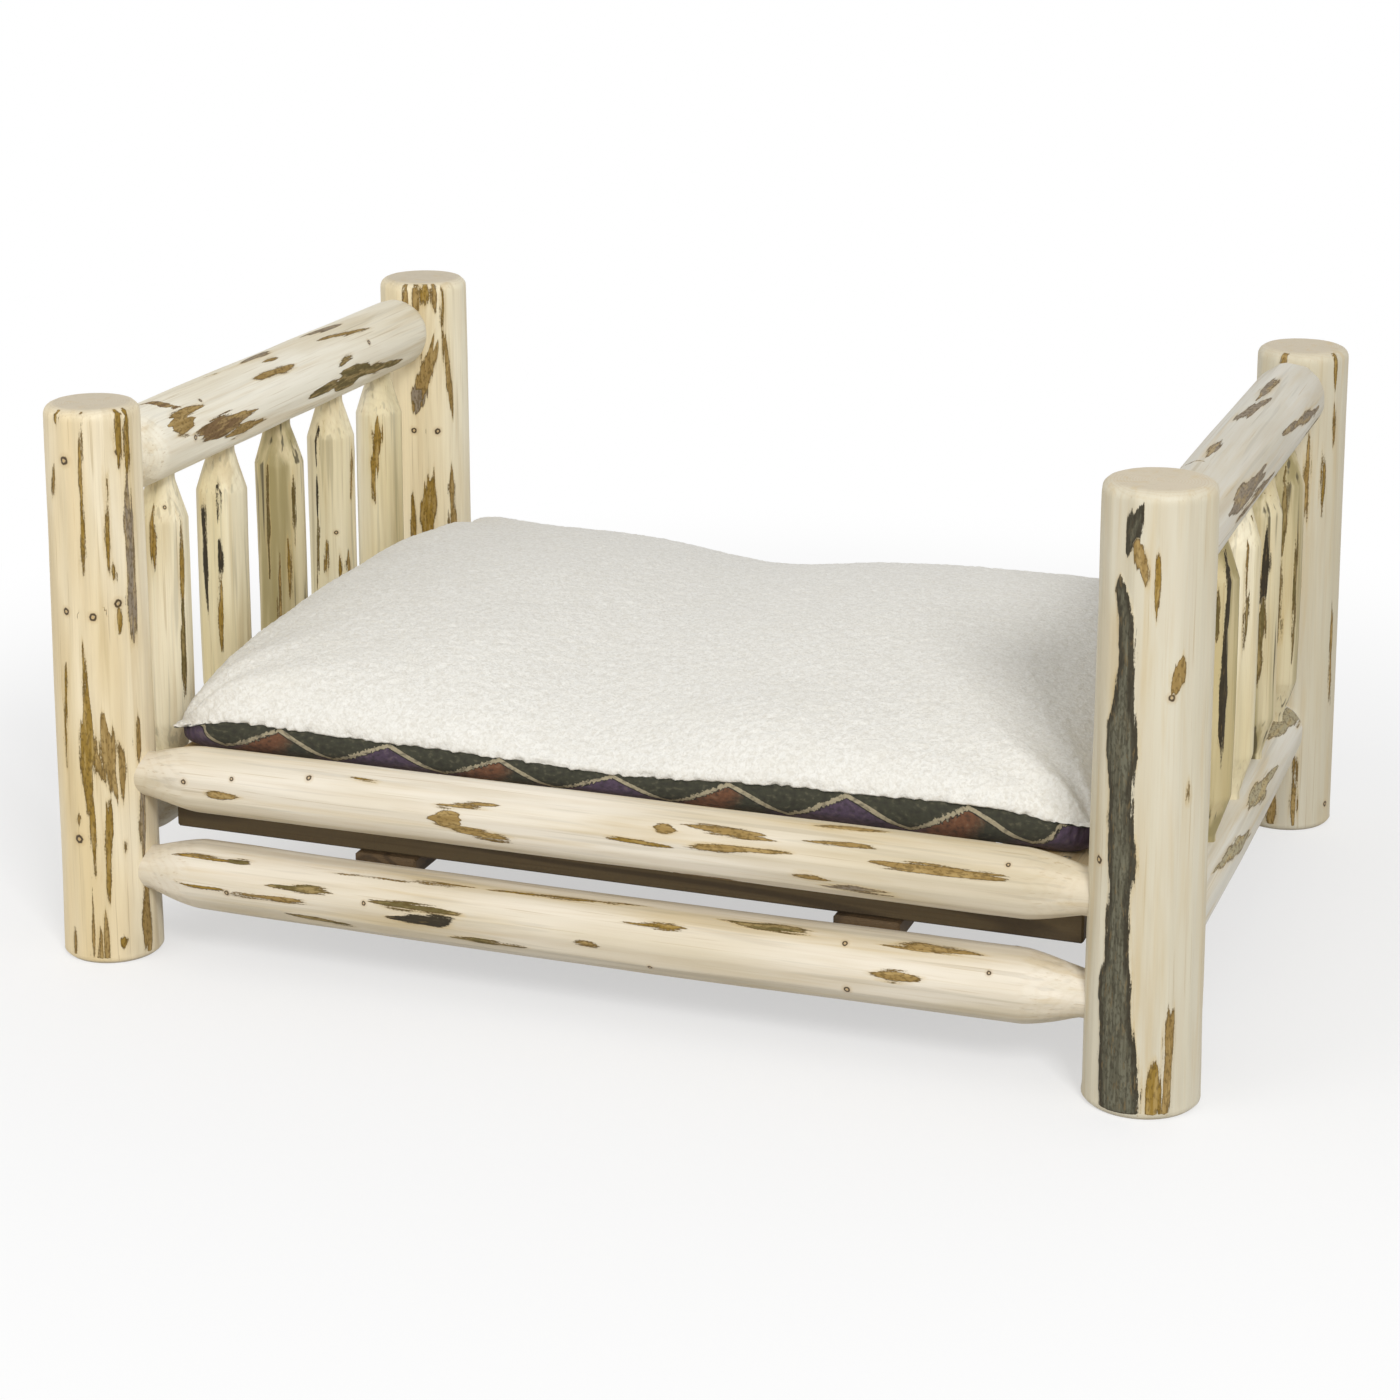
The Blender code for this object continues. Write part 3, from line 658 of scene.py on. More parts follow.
def band_inside(band, along, turn, radius, seed):
    """Metres inside a band: the smaller distance to its two edges."""
    one = band_edge(band, band.one_edge, along, radius, seed + ONE_EDGE_SEED)
    other = band_edge(band, band.other_edge, along, radius, seed + OTHER_EDGE_SEED)
    middle, half = (one + other) / 2, (other - one) / 2
    beyond = np.maximum(np.maximum(band.place[0] - along, along - band.place[-1]), 0)
    return radius * (half - np.abs(wrap(turn - middle))) - beyond


print("a scrap's fibres start and stop within", COMB_DEPTH, "of its length")

# %% [markdown]
# A log is a stack of rings. The profile gives each ring's radius, flat cuts of the drawknife take a
# little off round it, slow noise adds lumps, and the whole sways as the tree did. Bark and knots stand
# a little proud. A sculpted mesh would look the same, but these rings take any length and radius.

# %% Surface of a log
GIRTH_STEP, LENGTH_STEP = 0.0018, 0.0030
CUT_DRIFT, CUT_UNEVEN = 0.16, 0.55
CUT_FACING, CUT_SWING, CUT_LEAST_COSINE = 0.4, 0.09, 0.3
WANDER_STRIDE, SWING_STRIDE, FACING_STRIDE = 7.3, 3.1, 5.1
DEPTH_STRIDE, DEPTH_SEED_STRIDE = 2.7, 1.3
SWING_SEED = 50
LUMP_SIZE, LUMP_HEIGHT = 0.09, 0.010
BARK_UNIT, BARK_THIN, BARK_THICK = 0.004, 0.0004, 0.0014
BARK_EDGE = (-0.0004, 0.0012)
NO_BARK = -4 * BARK_UNIT
SCRAP_MARGIN, SCRAP_SEEDS = 0.02, 40
KNOT_RISE, KNOT_REACH, NO_KNOT = 0.0006, 4.5, 9.0
BOW_TURN = 2.1


def knife_cuts(along, turn, work, seed):
    """Share of the radius left by flat cuts round a log.

    Cut k faces the angle p and lies at 1 - d from the axis, so at the angle t it leaves
    (1 - d) / cos(t - p). The smallest of these and 1 is the surface. Depth and facing wander along
    the log, and sines of k and the seed make each cut unlike the next.
    """
    left = np.ones(np.broadcast_shapes(along.shape, turn.shape))
    for k in range(work.flats):
        wander = line_noise(along / CUT_DRIFT + WANDER_STRIDE * k, seed)
        swing = line_noise(along / CUT_DRIFT + SWING_STRIDE * k, seed + SWING_SEED)
        uneven = CUT_FACING * math.sin(FACING_STRIDE * k + seed)
        facing = 2 * math.pi * (k + uneven) / work.flats + CUT_SWING * swing
        own_depth = math.sin(DEPTH_STRIDE * k + DEPTH_SEED_STRIDE * seed)
        cut = work.depth * (1 + CUT_UNEVEN * (wander + own_depth))
        left = np.minimum(left, (1 - cut) / np.maximum(np.cos(turn - facing), CUT_LEAST_COSINE))
    return left


def bark_fields(log, place, turn, scraps, bands):
    """Metres inside the nearest bark, its tone and its thickness. A scrap takes its own rings only."""
    along = place[:, None]
    inside = np.full((len(place), turn.shape[1]), NO_BARK)
    tone = np.zeros(inside.shape)
    thick = np.full(inside.shape, BARK_THIN)
    for index, scrap in enumerate(scraps):
        ends = (scrap.low - SCRAP_MARGIN, scrap.high + SCRAP_MARGIN)
        rows = slice(*np.searchsorted(place, ends))
        depth = scrap_inside(scrap, along[rows], turn, log.radius, log.seed * SCRAP_SEEDS + index)
        tone[rows] = np.where(depth > inside[rows], scrap.tone, tone[rows])
        inside[rows] = np.maximum(inside[rows], depth)
    for band in bands:
        depth = band_inside(band, along, turn, log.radius, log.seed)
        tone = np.where(depth > inside, band.tone, tone)
        thick = np.where(depth > inside, BARK_THICK, thick)
        inside = np.maximum(inside, depth)
    return inside, tone, thick


def knot_field(log, along, turn, knots):
    """Offset to the nearest knot in knot sizes, along and across, 1 where it is near, and distance."""
    shape = np.broadcast_shapes(along.shape, turn.shape)
    spot = np.full((*shape, 3), NO_KNOT)
    nearest = np.full(shape, NO_KNOT)
    for place, turned, size in knots:
        sides = np.broadcast_arrays(along - place, log.radius * wrap(turn - turned))
        offset = np.stack(sides, axis=-1) / size
        distance = np.linalg.norm(offset, axis=-1)
        closer = distance < nearest
        spot[closer, :2] = offset[closer]
        nearest = np.minimum(nearest, distance)
    spot[..., 2] = nearest < KNOT_REACH
    return spot, nearest


def log_points(log, place, profile, body, scraps, knots, bands):
    """Ring points of a log and its fields.

    place and profile are each ring's position and radius, body is 1 where the ring is peeled and 0
    where it is turned or sawn. The radius is profile * cuts * lumps plus the height of the bark and
    knots.
    """
    columns = int(2 * math.pi * log.radius / GIRTH_STEP)
    turn = (np.arange(columns) + 0.5)[None, :] * 2 * math.pi / columns
    inside, tone, thick = bark_fields(log, place, turn, scraps, bands)
    along, profile, body = place[:, None], profile[:, None], body[:, None]
    inside = np.where(body > 0.5, inside, NO_BARK)
    spot, nearest = knot_field(log, along, turn, knots)
    cuts = knife_cuts(along, turn, log.work, log.seed)
    circle = (log.radius * np.cos(turn), log.radius * np.sin(turn), along)
    round_space = np.stack(np.broadcast_arrays(*circle), axis=-1)
    lumps = LUMP_HEIGHT * soft_noise(round_space / LUMP_SIZE + log.seed, log.seed)
    relief = thick * smooth_step(inside, *BARK_EDGE) + KNOT_RISE * np.exp(-nearest ** 2)
    radius = profile * (1 + body * (cuts - 1 + lumps)) + body * relief
    length = place[-1] - place[0]
    sway = body * log.work.bow * np.sin(math.pi * (along - place[0]) / length)
    heading = BOW_TURN * log.seed
    x = radius * np.cos(turn) + sway * math.cos(heading)
    y = radius * np.sin(turn) + sway * math.sin(heading)
    return np.stack(np.broadcast_arrays(x, y, along), axis=-1), inside, tone, spot


print("points of a log lie", GIRTH_STEP, "m apart round it and", LENGTH_STEP, "m along it")

# %% [markdown]
# The finish of a log needs to know where each point was in the tree, so the ring points are kept as a
# field too, shifted so that no two logs have the same grain and the pith is a little off the middle.

# %% A log as a piece
PITH_OFFSET, GRAIN_SHIFT = 0.006, 1.7
BARK_LIMIT = 3.0
SHARP_EDGE = math.radians(50)


class Ring(NamedTuple):
    """One ring of a log: place along it, radius, 1 where it is peeled, 1 where it is a sawn end."""
    place: float
    radius: float
    peeled: float
    sawn: float


def log_piece(log, rings, scraps, knots, material, bands=()):
    """A whole log as one closed piece that stands for its node."""
    place, profile, body, sawn = (np.array(column) for column in zip(*rings))
    points, inside, tone, spot = log_points(log, place, profile, body, scraps, knots, bands)
    rows, columns = inside.shape
    local = with_poles(points, (0.0, 0.0, place[0]), (0.0, 0.0, place[-1]))
    pith = PITH_OFFSET * np.array([math.cos(log.seed), math.sin(log.seed), 0.0])
    bark = np.clip(inside / BARK_UNIT, -BARK_LIMIT, BARK_LIMIT)
    no_knot = (NO_KNOT, NO_KNOT, 0.0)
    fields = {"log_space": local + pith + np.array([0.0, 0.0, GRAIN_SHIFT * log.seed]),
              "bark": with_poles(bark, -BARK_LIMIT, -BARK_LIMIT),
              "bark_tone": with_poles(tone, 0.0, 0.0),
              "knot_spot": with_poles(spot, no_knot, no_knot),
              "sawn_end": with_poles(np.repeat(sawn, columns), 1.0, 1.0)}
    points = local @ AXIS_FRAMES[log.axis] + np.array(log.centre)
    piece = make_piece(log.node + "_peeled", points, tube_faces(rows, columns), material, fields)
    piece.data.set_sharp_from_angle(angle=SHARP_EDGE)
    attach(piece, "bed_frame")
    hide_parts(log.node)


print("edges sharper than", round(math.degrees(SHARP_EDGE)), "degrees stay crisp")

# %% [markdown]
# Pine that is peeled by hand and finished clear is cream, with fine fibres along the log and faint
# growth lines where a flat cut crosses the yearly rings. The rings come from the distance to the pith,
# so the same formula draws circles on a sawn end and long ovals on a cut face. One node group holds
# the wood, and each kind of log places that group with its own cream and its own amount of stain.

# %% Wood of the peeled logs
COLOUR, VALUE, VECTOR = "NodeSocketColor", "NodeSocketFloat", "NodeSocketVector"
RING_WIDTH, RING_WOBBLE = 0.0027, 0.0045
RING_NOISE, RING_START, RING_FULL = Grain(0.15, 34, 2), 0.1, 1.0
SIDE_RINGS, END_RINGS = 0.07, 0.22
# The sawn ends are a greyer cream than the sides: partly end grain, partly painted shade for the post
# tops, which get less light than the fronts.
RING_BROWN, SAWN_END = paint(190, 158, 108), paint(210, 198, 174)
FIBRE, FIBRE_TINT = Grain(0.02, 620, 3), Tint(0.5, 0.85, 0.26, paint(190, 166, 120))
STREAKS, STREAK_TINT = Grain(0.045, 75, 3, 0.5), Tint(0.52, 0.72, 0.42, paint(204, 180, 130))
SMEARS, SMEAR_TINT = Grain(0.10, 36, 4, 0.6), Tint(0.50, 0.68, 0.30, paint(196, 176, 134))
LINES, LINE_TINT = Grain(0.012, 420, 2, 0.2), Tint(0.64, 0.72, 0.40, paint(178, 152, 106))
CLOUDS, CLOUD_START, CLOUD_FULL = Grain(0.22, 13, 2), 0.32, 0.72
STAIN_CLOUDS, STAIN_LINES = Grain(0.05, 48, 4, 0.3), Grain(0.03, 150, 2, 0.2)
CLOUD_STAIN, LINE_STAIN = (0.42, 0.62), (0.56, 0.66)
OLIVE_STAIN, DARK_STAIN = paint(150, 136, 88), paint(78, 68, 38)


def new_group(name, inputs, outputs):
    """A node group with named sockets: its graph, its inputs' outputs and its output node."""
    group = bpy.data.node_groups.new(name, "ShaderNodeTree")
    for label, kind, start in inputs:
        group.interface.new_socket(label, in_out="INPUT", socket_type=kind).default_value = start
    for label, kind in outputs:
        group.interface.new_socket(label, in_out="OUTPUT", socket_type=kind)
    given = group.nodes.new("NodeGroupInput").outputs
    return Graph(group), given, group.nodes.new("NodeGroupOutput")


def growth_rings(graph, space):
    """1 on the dark part of each yearly ring: a sine of the uneven distance from the pith."""
    wobble = graph.grain(space, RING_NOISE)
    from_pith = graph.scaled(wobble, RING_WOBBLE, graph.length(graph.stretch(space, (1, 1, 0))))
    wave = graph.math("SINE", graph.times(from_pith, 2 * math.pi / RING_WIDTH))
    return graph.step(wave, RING_START, RING_FULL)


def pine_grain_group():
    """Colour of clean peeled pine and the fibre pattern along it."""
    inputs = (("Pale", COLOUR, paint(236, 225, 200)), ("Tan", COLOUR, paint(224, 204, 164)),
              ("Stain", VALUE, 0.1))
    outputs = (("Color", COLOUR), ("Fibre", VALUE), ("Streaks", VALUE))
    graph, given, result = new_group("pine_grain", inputs, outputs)
    space, sawn = graph.field("log_space", "Vector"), graph.field("sawn_end")
    fibre, streaks = graph.grain(space, FIBRE), graph.grain(space, STREAKS)
    clouds = graph.step(graph.grain(space, CLOUDS), CLOUD_START, CLOUD_FULL)
    wood = graph.mix(clouds, given["Pale"], given["Tan"])
    wood = graph.tint(wood, graph.grain(space, SMEARS), SMEAR_TINT)
    wood = graph.tint(wood, graph.grain(space, LINES), LINE_TINT)
    wood = graph.mix(sawn, wood, SAWN_END)
    ring_share = graph.scaled(sawn, END_RINGS - SIDE_RINGS, SIDE_RINGS)
    wood = graph.mix(graph.times(growth_rings(graph, space), ring_share), wood, RING_BROWN)
    wood = graph.tint(wood, streaks, STREAK_TINT)
    wood = graph.tint(wood, fibre, FIBRE_TINT)
    stain = given["Stain"]
    wood = graph.tint(wood, graph.grain(space, STAIN_CLOUDS), Tint(*CLOUD_STAIN, stain, OLIVE_STAIN))
    wood = graph.tint(wood, graph.grain(space, STAIN_LINES), Tint(*LINE_STAIN, stain, DARK_STAIN))
    graph.dress(result, Color=wood, Fibre=fibre, Streaks=streaks)
    return graph.tree


PINE_GRAIN = pine_grain_group()
print("wood group:", PINE_GRAIN.name)

# %% [markdown]
# Where the drawknife skipped, thin inner bark is left. It is golden or brown, darker at its torn rim,
# and its edge runs out in long fibres. The field on the mesh says how far inside a scrap a point is,
# and long noise along the grain is added to it before the edge is cut, which gives the flames. Thick
# bark is grey, ridged and flaky. A knot is a dark ring round a paler heart.

# %% Bark and knots on the logs
# The plum tone is a greyer bark colour for scraps on the shaded sides of the logs: bark with painted
# shade in it.
BARK_TONES = ((GOLD, paint(150, 120, 48)), (BROWN, paint(156, 128, 74)), (RUSSET, paint(122, 95, 62)),
              (OLIVE, paint(104, 92, 50)), (SHADED_PLUM, paint(143, 130, 112)), (TAUPE, paint(170, 160, 130)),
              (GREY, paint(86, 83, 66)), (BLACK, paint(66, 56, 35)))
FLAMES, FLAME_REACH = Grain(0.06, 330, 3), 2.6
CHATTER, CHATTER_REACH = Grain(0.4, 950, 2), 0.7
MOTTLE, TONE_MOTTLE, MOTTLE_RIDGE = Grain(0.12, 240, 4), 0.08, (0.46, 0.62)
RIDGES, RIDGE, RIDGE_SHARE = Grain(0.08, 380, 3), (0.42, 0.62), 0.45
BLACK_START, BLACK_SMOOTH = GREY + 0.03, 0.8
CRUMBS, CRUMB, CRUMB_SHARE = Grain(0.45, 420, 3), (0.48, 0.62), 0.50
FLAKES, FLAKE, FLAKE_SHARE = Grain(0.16, 460, 3), (0.57, 0.70), 0.50
THIN_RIM, THICK_RIM, RIM_SHARE = (0.05, 0.40), (0.80, 2.00), 0.75
THIN_LIGHT, THICK_LIGHT = paint(198, 170, 112), paint(132, 130, 110)
THIN_DARK, THICK_DARK = paint(84, 62, 16), paint(44, 36, 20)
FLAKE_BROWN = paint(126, 104, 66)
BARK_CUT = (-0.22, 0.14)
TRACE_NEAR, TRACE_STREAKS, TRACE_SHARE = (-1.0, 0.0), (0.40, 0.62), 0.45
TRACE_TAN = paint(200, 172, 112)
KNOT_NOISE, KNOT_UNEVEN = 300, 0.7
HALO, HALO_SHARE, HALO_TAN = (0.9, 2.6), 0.36, paint(186, 152, 94)
HEART, HEART_SHARE, HEART_TAN = (0.20, 0.50), 0.75, paint(196, 160, 100)
KNOT_RING, KNOT_RING_EDGE, KNOT_BROWN = 0.80, (0.16, 0.50), paint(72, 54, 26)
WOOD_ROUGHNESS, BARK_ROUGHNESS, FIBRE_ROUGHNESS = 0.50, 0.85, 0.12
CRUST_MOTTLE, CRUST_LEAST, FIBRE_HEIGHT, STREAK_HEIGHT = 1.6, 0.1, 0.22, 0.15


def with_knots(graph, space, wood):
    """Wood colour with the nearest knot drawn on it: halo, pale heart and dark ring."""
    spot = graph.field("knot_spot", "Vector")
    near = graph.axis(spot, "Z")
    uneven = graph.times(graph.centred(graph.noise(space, KNOT_NOISE, 2)), KNOT_UNEVEN)
    knot = graph.plus(graph.length(graph.stretch(spot, (1, 1, 0))), uneven)
    halo = graph.times(graph.rest(graph.step(knot, *HALO)), HALO_SHARE)
    heart = graph.times(graph.rest(graph.step(knot, *HEART)), HEART_SHARE)
    from_ring = graph.math("ABSOLUTE", graph.minus(knot, KNOT_RING))
    ring = graph.rest(graph.step(from_ring, *KNOT_RING_EDGE))
    for share, colour in ((halo, HALO_TAN), (heart, HEART_TAN), (ring, KNOT_BROWN)):
        wood = graph.mix(graph.times(share, near), wood, colour)
    return wood


def torn_bark(graph, space):
    """How far inside bark a point is, in bark units, after fibres have torn its edge."""
    flame = graph.centred(graph.grain(space, FLAMES))
    chatter = graph.centred(graph.grain(space, CHATTER))
    torn = graph.scaled(chatter, CHATTER_REACH, graph.field("bark"))
    return graph.scaled(flame, FLAME_REACH, torn)


def bark_colour(graph, space, torn, mottle):
    """Colour of bark by its tone, with light ridges, dark crumbs, a dark rim and brown flakes."""
    tone = graph.scaled(graph.centred(mottle), TONE_MOTTLE, graph.field("bark_tone"))
    thick = graph.step(tone, TAUPE, GREY)
    ridges = graph.step(graph.grain(space, RIDGES), *RIDGE)
    ridge = graph.either(thick, graph.step(mottle, *MOTTLE_RIDGE), ridges)
    black = graph.times(graph.step(tone, BLACK_START, BLACK), BLACK_SMOOTH)
    ridge = graph.times(ridge, graph.rest(black))
    light = graph.mix(thick, THIN_LIGHT, THICK_LIGHT)
    dark = graph.mix(thick, THIN_DARK, THICK_DARK)
    colour = graph.mix(graph.times(ridge, RIDGE_SHARE), graph.ramp(tone, BARK_TONES), light)
    colour = graph.tint(colour, graph.grain(space, CRUMBS), Tint(*CRUMB, CRUMB_SHARE, dark))
    rims = (graph.rest(graph.step(torn, *rim)) for rim in (THIN_RIM, THICK_RIM))
    colour = graph.mix(graph.times(graph.either(thick, *rims), RIM_SHARE), colour, dark)
    flakes = graph.times(thick, graph.step(graph.grain(space, FLAKES), *FLAKE))
    return graph.mix(graph.times(flakes, FLAKE_SHARE), colour, FLAKE_BROWN)


def bark_group():
    """Colour, roughness and height of a log from its wood colour and its bark and knot fields."""
    inputs = (("Wood", COLOUR, paint(230, 215, 185)), ("Fibre", VALUE, 0.5), ("Streaks", VALUE, 0.5))
    outputs = (("Color", COLOUR), ("Roughness", VALUE), ("Height", VALUE))
    graph, given, result = new_group("bark_and_knots", inputs, outputs)
    fibre, streaks = given["Fibre"], given["Streaks"]
    space = graph.field("log_space", "Vector")
    wood = with_knots(graph, space, given["Wood"])
    torn = torn_bark(graph, space)
    trace = graph.times(graph.step(torn, *TRACE_NEAR), graph.step(streaks, *TRACE_STREAKS))
    wood = graph.mix(graph.times(trace, TRACE_SHARE), wood, TRACE_TAN)
    mottle = graph.grain(space, MOTTLE)
    bark = graph.step(torn, *BARK_CUT)
    colour = graph.mix(bark, wood, bark_colour(graph, space, torn, mottle))
    roughness = graph.scaled(bark, BARK_ROUGHNESS - WOOD_ROUGHNESS, WOOD_ROUGHNESS)
    crust = graph.times(bark, graph.scaled(mottle, CRUST_MOTTLE, CRUST_LEAST))
    plain = graph.scaled(fibre, FIBRE_HEIGHT, graph.times(streaks, STREAK_HEIGHT))
    graph.dress(result, Color=colour, Roughness=graph.scaled(fibre, FIBRE_ROUGHNESS, roughness),
                Height=graph.plus(crust, plain))
    return graph.tree


BARK_AND_KNOTS = bark_group()
print("bark group:", BARK_AND_KNOTS.name)

# %% [markdown]
# No two trees have the same cream. The material below joins both groups, and each kind of log gets its
# own pale and tan shade and its own amount of olive stain. These shades are partly the wood's own tone
# and partly painted light: the headboard rails are painted lighter, and the footboard rails and the
# right-hand posts darker and greyer, as light and shade fall on them. The bump from the fibres is
# slight, because the clear finish fills them.

# %% Shades of pine
GRAIN_BUMP, GRAIN_DEPTH = 0.6, 0.0009


def pine_material(name, pale, tan, stain):
    """Clear-finished peeled pine in one shade of cream."""
    material, graph, shader = new_material(name)
    wood = graph.add("Group", {"node_tree": PINE_GRAIN}, Pale=paint(*pale), Tan=paint(*tan),
                     Stain=stain).outputs
    surface = graph.add("Group", {"node_tree": BARK_AND_KNOTS}, Wood=wood["Color"],
                        Fibre=wood["Fibre"], Streaks=wood["Streaks"]).outputs
    graph.dress(shader, Base_Color=surface["Color"], Roughness=surface["Roughness"],
                Normal=graph.bump(surface["Height"], GRAIN_BUMP, GRAIN_DEPTH))
    return material


WARM_POST = pine_material("warm_post_pine", (252, 241, 214), (231, 209, 162), 0.05)
BACK_POST = pine_material("back_post_pine", (252, 243, 216), (240, 224, 186), 0.05)
# The right-hand posts take a darker, greyer cream: partly the wood's own tone, partly painted shade.
GREY_SHADED_POST = pine_material("grey_shaded_post_pine", (220, 213, 192), (212, 202, 175), 0.04)
RAIL_PINE = pine_material("rail_pine", (235, 226, 209), (217, 204, 177), 0.12)
# The headboard rails are painted lighter and the footboard rails darker and greyer: painted light and
# shade over the wood's own cream.
LIT_HEAD_RAIL_PINE = pine_material("lit_head_rail_pine", (250, 245, 229), (236, 227, 203), 0.08)
SHADED_FOOT_RAIL_PINE = pine_material("shaded_foot_rail_pine", (224, 220, 208), (208, 201, 184), 0.12)
SPINDLE_PINE = pine_material("spindle_pine", (249, 240, 212), (227, 212, 166), 0.25)
STAINED_PINE = pine_material("stained_spindle_pine", (228, 216, 180), (198, 181, 132), 0.90)
print("materials so far:", len(bpy.data.materials))

# %% [markdown]
# The four posts are the thickest logs. Their sides are only lightly shaved, the top is sawn flat with
# its edge rounded over, and the foot has a small bevel. Below are their marks as they show in the
# picture. A row of bark gives x and y of its two tips, its greatest width in mm and its tone.

# %% Marks on the posts
POST_MARKS = {
    "front_left_post": (
        (93, 414, 93, 500, 4, GOLD), (92, 496, 93, 584, 5, GOLD), (118, 468, 118, 564, 4, GOLD),
        (123, 562, 124, 582, 5, GOLD), (131, 404, 131, 470, 7, GOLD), (139, 404, 139, 484, 7, GOLD),
        (138, 466, 142, 638, 13, SHADED_PLUM), (64, 466, 64, 498, 5, BROWN), (67, 404, 67, 424, 7, GOLD),
        (72, 655, 71, 760, 4, GOLD), (90, 636, 92, 730, 5, GOLD), (91, 690, 94, 812, 14, GOLD),
        (110, 722, 118, 806, 15, BROWN), (101, 752, 108, 786, 10, BROWN),
        (127, 742, 126, 802, 7, BROWN), (95, 804, 97, 892, 6, GOLD), (112, 800, 111, 904, 6, GOLD),
        (94, 896, 94, 975, 4, BROWN), (100, 922, 101, 975, 5, BROWN),
        (106, 916, 106, 975, 6, BROWN), (76, 928, 75, 972, 6, BROWN), (124, 942, 124, 954, 6, GOLD),
        (147, 876, 147, 975, 10, BROWN), (145, 780, 145, 864, 8, SHADED_PLUM),
        (142, 718, 142, 766, 6, BROWN), (128, 608, 128, 636, 5, GOLD),
        (128, 840, 128, 855, 5, BROWN), (82, 816, 82, 828, 4, BROWN)),
    "front_right_post": (
        (1133, 500, 1123, 548, 15, GREY), (1129, 526, 1139, 578, 10, BROWN),
        (1152, 558, 1152, 622, 4, GOLD), (1178, 654, 1171, 692, 12, BROWN),
        (1173, 996, 1168, 1140, 11, BROWN), (1157, 1064, 1156, 1140, 11, GOLD),
        (1188, 780, 1188, 800, 3, GOLD)),
    "back_left_post": (
        (406, 276, 408, 309, 10, BROWN), (418, 276, 417, 310, 11, BROWN),
        (428, 276, 427, 307, 9, GOLD), (437, 276, 438, 312, 7, BROWN),
        (445, 286, 444, 327, 4, GOLD), (446, 320, 453, 406, 8, BROWN),
        (435, 338, 419, 404, 22, BROWN), (424, 376, 417, 410, 15, SHADED_PLUM),
        (432, 466, 425, 552, 17, GOLD), (450, 464, 455, 546, 13, BROWN),
        (413, 498, 413, 554, 5, GOLD)),
    "back_right_post": (
        (1280, 344, 1280, 375, 11, BROWN), (1334, 346, 1334, 394, 5, GOLD),
        (1334, 396, 1333, 442, 5, BROWN), (1308, 434, 1305, 526, 9, BROWN),
        (1302, 518, 1300, 642, 4, GOLD), (1324, 444, 1323, 518, 4, GOLD),
        (1336, 602, 1335, 704, 6, BROWN), (1302, 752, 1301, 836, 6, BROWN),
        (1280, 792, 1279, 836, 8, BROWN)),
}
POST_KNOTS = {
    "front_left_post": ((76, 459), (131, 450), (74, 610), (101, 616), (127, 602), (82, 841)),
    "front_right_post": ((1168, 694), (1100, 857)),
    "back_left_post": ((439, 429), (415, 428)),
    "back_right_post": ((1333, 808),),
}
FRONT_RIGHT_BARK = (
    (1113, 1115, 573), (1111, 1122, 587), (1113, 1130, 611), (1113, 1130, 659), (1108, 1131, 705),
    (1103, 1137, 747), (1107, 1133, 780), (1110, 1135, 835), (1108, 1133, 900), (1105, 1133, 949),
    (1102, 1134, 998), (1102, 1139, 1063), (1104, 1143, 1096), (1108, 1149, 1140))
print("scraps of bark seen on posts:", sum(len(rows) for rows in POST_MARKS.values()))

# %% [markdown]
# A post could be turned on a Screw modifier. Rings in code do the same, and they can also say which of
# them are peeled and which are sawn, so that the finish draws yearly rings on the cut ends only.

# %% Posts
POST_RADII = {"front_left_post": 0.0490, "front_right_post": 0.0535,
              "back_left_post": 0.0535, "back_right_post": 0.0510}
POST_PINE = {"front_left_post": WARM_POST, "back_left_post": BACK_POST}
POST_WORK = Work(13, 0.016, 0.0, 0.0034, 22)
POST_TAPER = 0.003
POST_ROUND_OVER = 0.0105
POST_MARGIN = 0.05
FOOT_BEVEL, BEVEL_MIDDLE, BEVEL_LOSS = 0.004, 0.5, 0.42
FOOT_FADE = 0.012
FOOT_SHARES = np.linspace(0.15, 1, 5)
EDGE_TURNS = np.linspace(0.0, math.pi / 2, 7)
TOP_SHARES = np.linspace(0.93, 0.08, 12)


def post_rings(height, foot):
    """Rings from the middle of a post's foot, up its tapered side and over the edge to its top."""
    top = foot - POST_TAPER
    rings = [Ring(0.0, (foot - FOOT_BEVEL) * share, 0.0, 1.0) for share in FOOT_SHARES]
    rings.append(Ring(FOOT_BEVEL * BEVEL_MIDDLE, foot - FOOT_BEVEL * BEVEL_LOSS, 0.0, 0.5))
    side = np.arange(FOOT_BEVEL, height - POST_ROUND_OVER, LENGTH_STEP)
    fade = smooth_step(side, 0.0, FOOT_FADE)
    radius = foot - POST_TAPER * side / height
    rings += [Ring(*ring, 0.0) for ring in zip(side, radius, fade)]
    for turn in EDGE_TURNS:
        inset = POST_ROUND_OVER * (1 - math.cos(turn))
        place = height - POST_ROUND_OVER * (1 - math.sin(turn))
        rings.append(Ring(place, top - inset, math.cos(turn), 1 - math.cos(turn)))
    flat = top - POST_ROUND_OVER
    return rings + [Ring(height, flat * share, 0.0, 1.0) for share in TOP_SHARES]


posts = {}
for seed, (node, radius) in enumerate(POST_RADII.items(), start=1):
    low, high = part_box(node)
    centre = ((low.x + high.x) / 2, (low.y + high.y) / 2, 0.0)
    log = Log(node, "Z", centre, radius - POST_TAPER / 2, POST_WORK, seed)
    scraps = [scrap_of(log, Streak(*row)) for row in POST_MARKS[node]]
    scraps += hidden_scraps(log, POST_MARGIN, high.z - POST_MARGIN)
    bands = [band_of(log, FRONT_RIGHT_BARK, GREY)] if node == "front_right_post" else []
    log_piece(log, post_rings(high.z, radius), scraps, knot_spots(log, POST_KNOTS[node]),
              POST_PINE.get(node, GREY_SHADED_POST), bands)
    posts[node] = log
print("posts:", ", ".join(posts))

# %% [markdown]
# Rails are thinner logs with a round tenon at each end. The spindles are thinner still. Their marks
# are listed in the same way as those of the posts.

